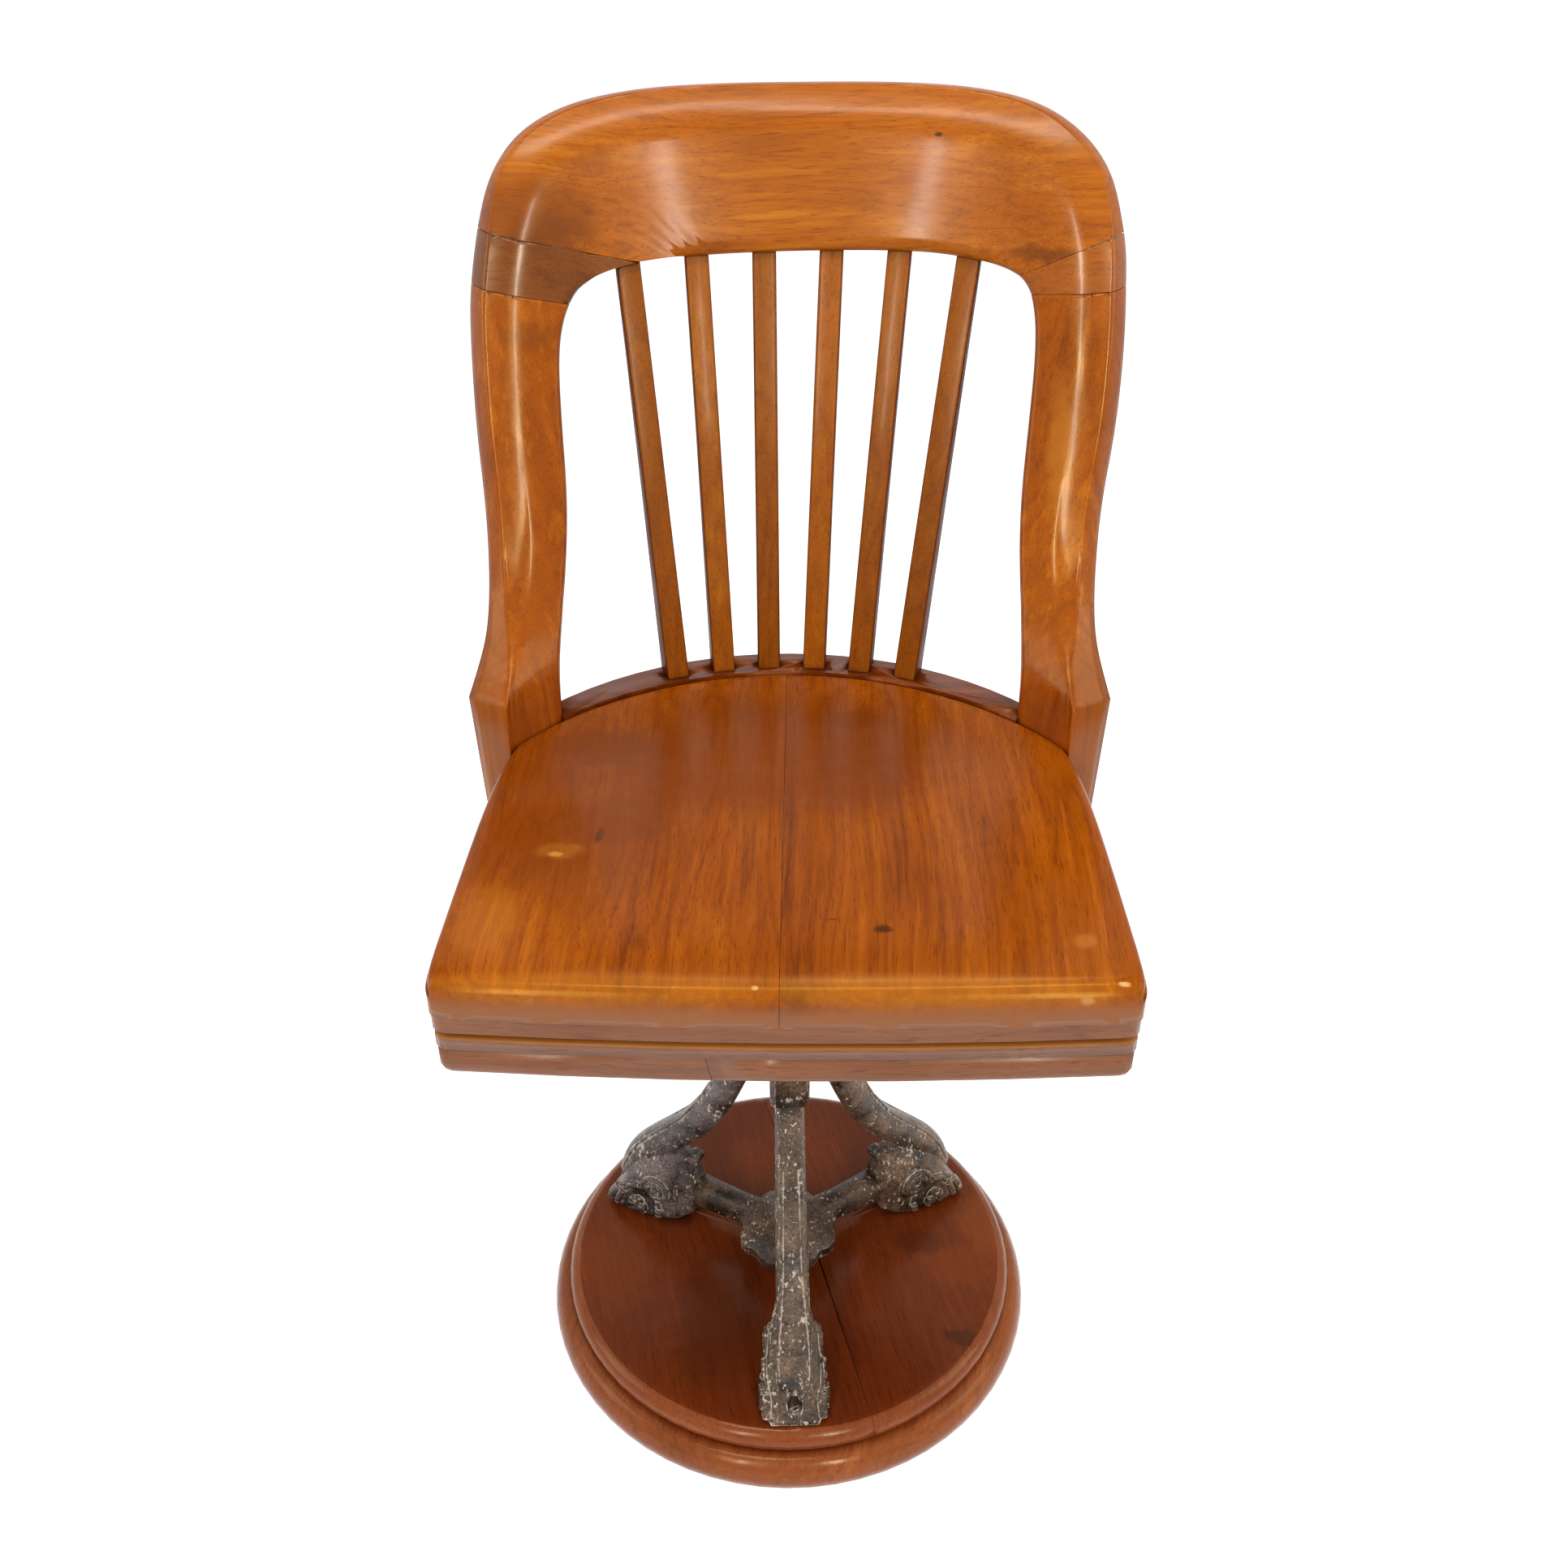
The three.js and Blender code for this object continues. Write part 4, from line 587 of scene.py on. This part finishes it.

# Seat: two wide boards glued edge to edge, dished towards the rear and rounded
# over at the front, varnished orange-brown, dented and worn in places, and darker
# over the left and towards the rear. A lighter band along the front edge is a
# painted highlight, and a pinkish tint low on the boards is a painted reflection.
seat_tones = ((0.42, 0.105, 0.003), (0.29, 0.060, 0.001), (0.135, 0.021, 0.001))
seat_marks_and_painted_light = {
    "left": (((-0.15, 0.0, 0.515), (0.10, 0.16, 0.05), (0.18, 0.032, 0.001), 0.6, 0.05),
             ((-0.01, 0.075, 0.515), (0.20, 0.11, 0.05), (0.16, 0.028, 0.001), 0.65, 0.04),
             ((-0.158, -0.057, 0.515), (0.022, 0.012, 0.02), (0.52, 0.19, 0.02), 0.26, 0.02),
             ((-0.160, -0.060, 0.515), (0.007, 0.0045, 0.02), (0.72, 0.33, 0.05), 0.5, 0.008),
             # Painted highlight: a lighter band along the front edge of this board.
             ((-0.12, -0.205, 0.52), (0.16, 0.017, 0.02), (0.50, 0.19, 0.03), 0.28, 0.006),
             ((-0.133, -0.037, 0.515), (0.004, 0.012, 0.02), (0.05, 0.012, 0.002), 0.9, 0.005),
             ((-0.122, -0.017, 0.515), (0.05, 0.04, 0.03), (0.17, 0.032, 0.002), 0.5, 0.03),
             ((-0.196, -0.14, 0.515), (0.03, 0.05, 0.03), (0.46, 0.14, 0.012), 0.4, 0.03),
             ((-0.0188, -0.204, 0.517), (0.003, 0.002, 0.01), (0.62, 0.33, 0.13), 0.9, 0.002),
             ((-0.14, 0.075, 0.517), (0.06, 0.03, 0.03), (0.16, 0.03, 0.002), 0.5, 0.03),
             # Painted reflection: a pinkish tint over the board below its top, on the front face.
             ((-0.1, -0.1, 0.488), (2, 2, 0.029), (0.31, 0.12, 0.058), 0.95, 0.005)),
    "right": (((0.062, -0.146, 0.515), (0.009, 0.0065, 0.02), (0.05, 0.012, 0.002), 0.9, 0.009),
              ((0.030, -0.135, 0.515), (0.004, 0.0015, 0.02), (0.07, 0.015, 0.002), 0.7, 0.002),
              ((0.19, -0.158, 0.515), (0.011, 0.011, 0.02), (0.52, 0.17, 0.02), 0.45, 0.006),
              ((0.209, -0.198, 0.516), (0.005, 0.0025, 0.01), (0.66, 0.38, 0.16), 0.95, 0.003),
              ((0.186, -0.206, 0.516), (0.006, 0.002, 0.01), (0.6, 0.3, 0.1), 0.8, 0.003),
              # Painted highlight: a lighter band along the front edge of this board.
              ((0.091, -0.205, 0.52), (0.17, 0.017, 0.02), (0.52, 0.20, 0.03), 0.32, 0.006),
              ((-0.01, 0.075, 0.515), (0.20, 0.11, 0.05), (0.16, 0.028, 0.001), 0.65, 0.04),
              ((0.053, 0.047, 0.516), (0.05, 0.07, 0.03), (0.17, 0.03, 0.002), 0.55, 0.04),
              ((0.05, 0.12, 0.52), (0.03, 0.02, 0.03), (0.12, 0.024, 0.002), 0.35, 0.02),
              # Painted reflection: a pinkish tint over the board below its top, on the front face.
              ((0.1, -0.1, 0.488), (2, 2, 0.029), (0.31, 0.12, 0.058), 0.95, 0.005)),
}
for side, shift in (("left", (0.2, 0.35, 0.1)), ("right", (-0.4, 0.1, 0.2))):
    board = smooth_piece("seat_board_" + side, "seat", crease=38, levels=1)
    board.data.materials.append(varnished_wood(
        "seat_varnish_" + side, "y", seat_tones, shift=shift, contrast=0.74,
        gloss=0.16, coat=0.01, shine=0.16, glint=(1, 0.65, 0.12), places=seat_marks_and_painted_light[side]))

# Under the seat: the grooved moulding, the thin band and the rounded rail run
# round the front and sides, with a rail at the rear and two battens inside.
# A thin lighter line along the bands is a painted highlight.
frame_tones = ((0.34, 0.140, 0.075), (0.245, 0.092, 0.048), (0.13, 0.043, 0.022))
# Painted highlight: a thin lighter line painted round the bands at one height.
painted_edge_highlight = ((0, 0, 0.4785), (2, 2, 0.0036), (0.52, 0.19, 0.03), 0.9, 0.0008)
for node, grain in (
    ("moulding_front", "x"), ("band_front", "x"), ("rail_front_left", "x"),
    ("rail_front_right", "x"), ("rail_rear", "x"), ("batten_left", "y"), ("batten_right", "y"),
    ("moulding_left", "y"), ("moulding_right", "y"), ("band_left", "y"), ("band_right", "y"),
    ("rail_left", "y"), ("rail_right", "y"),
):
    strip = smooth_piece(node, "seat", crease=38)
    strip.data.materials.append(varnished_wood(
        node + "_varnish", grain, frame_tones, shift=(len(node) * 0.13, 0.2, 0.1),
        contrast=0.5, figure=0.7, gloss=0.28, coat=0.06, shine=0.3,
        places=(painted_edge_highlight,) if node.startswith("band") else ()))

# Posts and shoulder blocks: a bent post at each side, fixed to the seat's frame
# with a dowel, and a block glued on its top, shaped in one with it and the crest.
back_tones = ((0.50, 0.155, 0.008), (0.365, 0.088, 0.003), (0.18, 0.034, 0.002))
outer_edge = {
    -1: ((0.2098, 0.557), (0.2054, 0.588), (0.2092, 0.640), (0.2136, 0.680), (0.2192, 0.725),
         (0.2228, 0.772), (0.2241, 0.804), (0.2234, 0.822), (0.2214, 0.845), (0.2179, 0.870),
         (0.2119, 0.8925), (0.1962, 0.9157), (0.1659, 0.9323), (0.1099, 0.9416), (0, 0.9435)),
    1: ((0.2090, 0.557), (0.2054, 0.588), (0.2085, 0.640), (0.2130, 0.680), (0.2199, 0.725),
        (0.2239, 0.772), (0.2248, 0.804), (0.2246, 0.822), (0.2239, 0.845), (0.2201, 0.870),
        (0.2136, 0.894), (0.1976, 0.9164), (0.1661, 0.9354), (0.1099, 0.9439), (0, 0.9435)),
}
for side in outer_edge:
    for again in range(3):
        corners = [Vector(place) for place in outer_edge[side]]
        eased = [corners[0]]
        for start, end in zip(corners, corners[1:]):
            eased += [start.lerp(end, 0.25), start.lerp(end, 0.75)]
        outer_edge[side] = eased + [corners[-1]]


def to_outer_edge(x, z):
    """How far a place across and up lies from the frame's outer edge."""
    spot = Vector((abs(x), z))
    line = outer_edge[-1 if x < 0 else 1]
    nearest = 1.0
    for start, end in zip(line, line[1:]):
        along = end - start
        share = min(1, max(0, (spot - start).dot(along) / along.length_squared))
        nearest = min(nearest, (start + along * share - spot).length)
    return nearest


def round_over(piece):
    """The front arris of the frame is worked off far across its face: outside a
    soft ridge the face falls back to the outer edge, by its distance from it."""
    seat_level, knee_foot, knee_height = 0.520, 0.557, 0.130
    front_at_seat, radius_at_seat = 0.180, 0.247
    rake, flare, side_lean = 0.3057, 0.574, 0.014
    first_height, fade_height = 0.565, 0.08
    ridge_width, crest_widening, crest_foot, crest_height = 0.0145, 0.003, 0.85, 0.07
    slope, ease, steepest = 0.75, 0.006, 0.98
    for vertex in piece.data.vertices:
        x, y, z = vertex.co
        if z < first_height:
            continue
        x -= (z - knee_foot) * side_lean
        radius = radius_at_seat + (z - seat_level) * flare
        knee = (1 - min(1, (z - knee_foot) / knee_height)) ** 2
        front = front_at_seat + (z - seat_level) * rake - (knee_foot - seat_level) * rake * knee
        reach = (x ** 2 + (y - front + radius) ** 2) ** 0.5
        out = max(-steepest, min(steepest, x / reach))
        deep = reach - radius
        edge = to_outer_edge(x * radius / reach, z)
        widening = min(1, max(0, (z - crest_foot) / crest_height))
        ridge = ridge_width + crest_widening * widening
        if edge < ridge + 5 * ease:
            wide = slope * ease * log(1 + exp((ridge - edge) / ease))
            push = max(0, wide - max(0, deep)) * min(1, (z - first_height) / fade_height)
            vertex.co += push * Vector((out, (1 - out ** 2) ** 0.5, 0))


post_tones = ((0.47, 0.125, 0.003), (0.31, 0.062, 0.001), (0.155, 0.024, 0.001))
post_marks_and_shade = {
    "left": (((-0.19, 0.2, 0.79), (0.03, 0.05, 0.012), (0.16, 0.03, 0.002), 0.5, 0.012),
             ((-0.21, 0.2, 0.63), (0.02, 0.05, 0.06), (0.48, 0.15, 0.012), 0.5, 0.02),
             # Painted shade: the outer side of the post's foot is darkened.
             ((-0.235, 0.14, 0.54), (0.035, 0.10, 0.08), (0.21, 0.045, 0.001), 0.6, 0.02),
             ((-0.18, 0.15, 0.55), (0.03, 0.05, 0.03), (0.2, 0.036, 0.002), 0.5, 0.02)),
    "right": (((0.2, 0.2, 0.70), (0.012, 0.06, 0.08), (0.50, 0.17, 0.015), 0.5, 0.015),
              # Painted shade: the outer side of the post's foot is darkened.
              ((0.235, 0.14, 0.54), (0.035, 0.10, 0.08), (0.24, 0.06, 0.001), 0.5, 0.02),
              ((0.19, 0.15, 0.54), (0.03, 0.05, 0.03), (0.2, 0.036, 0.002), 0.5, 0.02)),
}
for side, post_shift, block_depth in (("left", 0.3, 0.5), ("right", 0.7, 0.92)):
    post = smooth_piece("post_" + side, "seat", crease=38, levels=2)
    round_over(post)
    post.data.materials.append(varnished_wood(
        "post_varnish_" + side, "z", post_tones, shift=(post_shift, 0, 0), contrast=0.6, figure=0.6,
        gloss=0.17, coat=0.13, shine=0.3, glint=(1, 0.72, 0.22), places=post_marks_and_shade[side]))
    block = smooth_piece("shoulder_block_" + side, "seat", crease=38, levels=2)
    round_over(block)
    block_tones = tuple(tuple(c * block_depth for c in tone) for tone in back_tones)
    block.data.materials.append(varnished_wood(
        "shoulder_varnish_" + side, "x", block_tones, shift=(0.1, 0.5, 0.1), contrast=0.4,
        gloss=0.2, coat=0.22, shine=0.3, glint=(1, 0.75, 0.4)))
    dowel = smooth_piece("post_dowel_" + side, "seat", crease=38)
    dowel.data.materials.append(varnished_wood("dowel_wood_" + side, "x", seat_tones))

# Crest rail: one arched board between the shoulder blocks, worked to the back's
# curve. Its lower corners are stained dark, and its face has a small dent.
crest_marks = (
    ((-0.17, 0.21, 0.855), (0.045, 0.08, 0.022), (0.14, 0.03, 0.003), 0.7, 0.03),
    ((-0.185, 0.22, 0.868), (0.065, 0.09, 0.036), (0.16, 0.034, 0.002), 0.55, 0.03),
    ((-0.19, 0.20, 0.835), (0.07, 0.08, 0.014), (0.15, 0.03, 0.004), 0.75, 0.02),
    ((-0.145, 0.25, 0.90), (0.02, 0.08, 0.012), (0.22, 0.045, 0.004), 0.6, 0.02),
    ((0.107, 0.26, 0.915), (0.0045, 0.08, 0.0022), (0.03, 0.008, 0.002), 0.9, 0.004),
    ((0.185, 0.21, 0.842), (0.05, 0.08, 0.008), (0.12, 0.025, 0.003), 0.7, 0.015),
)
crest = smooth_piece("crest_rail", "seat", crease=38, levels=2)
round_over(crest)
crest.data.materials.append(varnished_wood(
    "crest_varnish", "x", back_tones, shift=(0.1, 0.2, 0.3), figure=1.3, contrast=0.6,
    gloss=0.24, coat=0.12, shine=0.22, glint=(1, 0.75, 0.4), places=crest_marks))

# Bow: a low curved board behind the seat, fixed between the posts and varnished
# darker than the seat. The slats stand in it.
bow_tones = tuple((red * 0.48, green * 0.36, blue * 0.8) for red, green, blue in back_tones)
bow = smooth_piece("back_bow", "seat", crease=38)
bow.data.materials.append(varnished_wood("bow_varnish", "x", bow_tones))

# Slats: six flat strips that fan out from the bow to the crest, deeper at the
# foot than at the head. Their sides are painted darker, as painted shade.
slat_swell, fan_depth = 0.014, 0.32
slat_side_shade_tones = ((0.17, 0.036, 0.004), (0.12, 0.022, 0.003), (0.06, 0.010, 0.002))
for count, depth in enumerate((0.66, 0.78, 0.68, 0.84, 0.72, 0.66), 1):
    slat = smooth_piece("slat_%d" % count, "seat", crease=30, rounding=0.0008)
    foot, head = (corner[2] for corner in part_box("slat_%d" % count))
    middle_x = sum(vertex.co.x for vertex in slat.data.vertices) / len(slat.data.vertices)
    out = Vector((middle_x, fan_depth, 0)).normalized()
    across = Vector((out.y, -out.x, 0))
    for vertex in slat.data.vertices:
        if vertex.normal.dot(out) > 0.2:
            vertex.co += out * slat_swell * (head - vertex.co.z) / (head - foot)
    slat_tones = tuple(tuple(c * depth for c in tone) for tone in back_tones)
    slat.data.materials.append(varnished_wood(
        "slat_varnish_%d" % count, "z", slat_tones, shift=(count * 0.37, 0.1, 0), figure=0.7,
        contrast=0.55, gloss=0.3, coat=0.05, shine=0.3, glint=(1, 0.75, 0.4)))
    # Painted shade: the sides take a much darker copy of the wood.
    slat.data.materials.append(varnished_wood(
        "slat_side_varnish_%d" % count, "z", slat_side_shade_tones, contrast=0.5,
        gloss=0.4, coat=0, shine=0.04))
    for face in slat.data.polygons:
        if abs(face.normal.dot(across)) > 0.75:
            face.material_index = 1
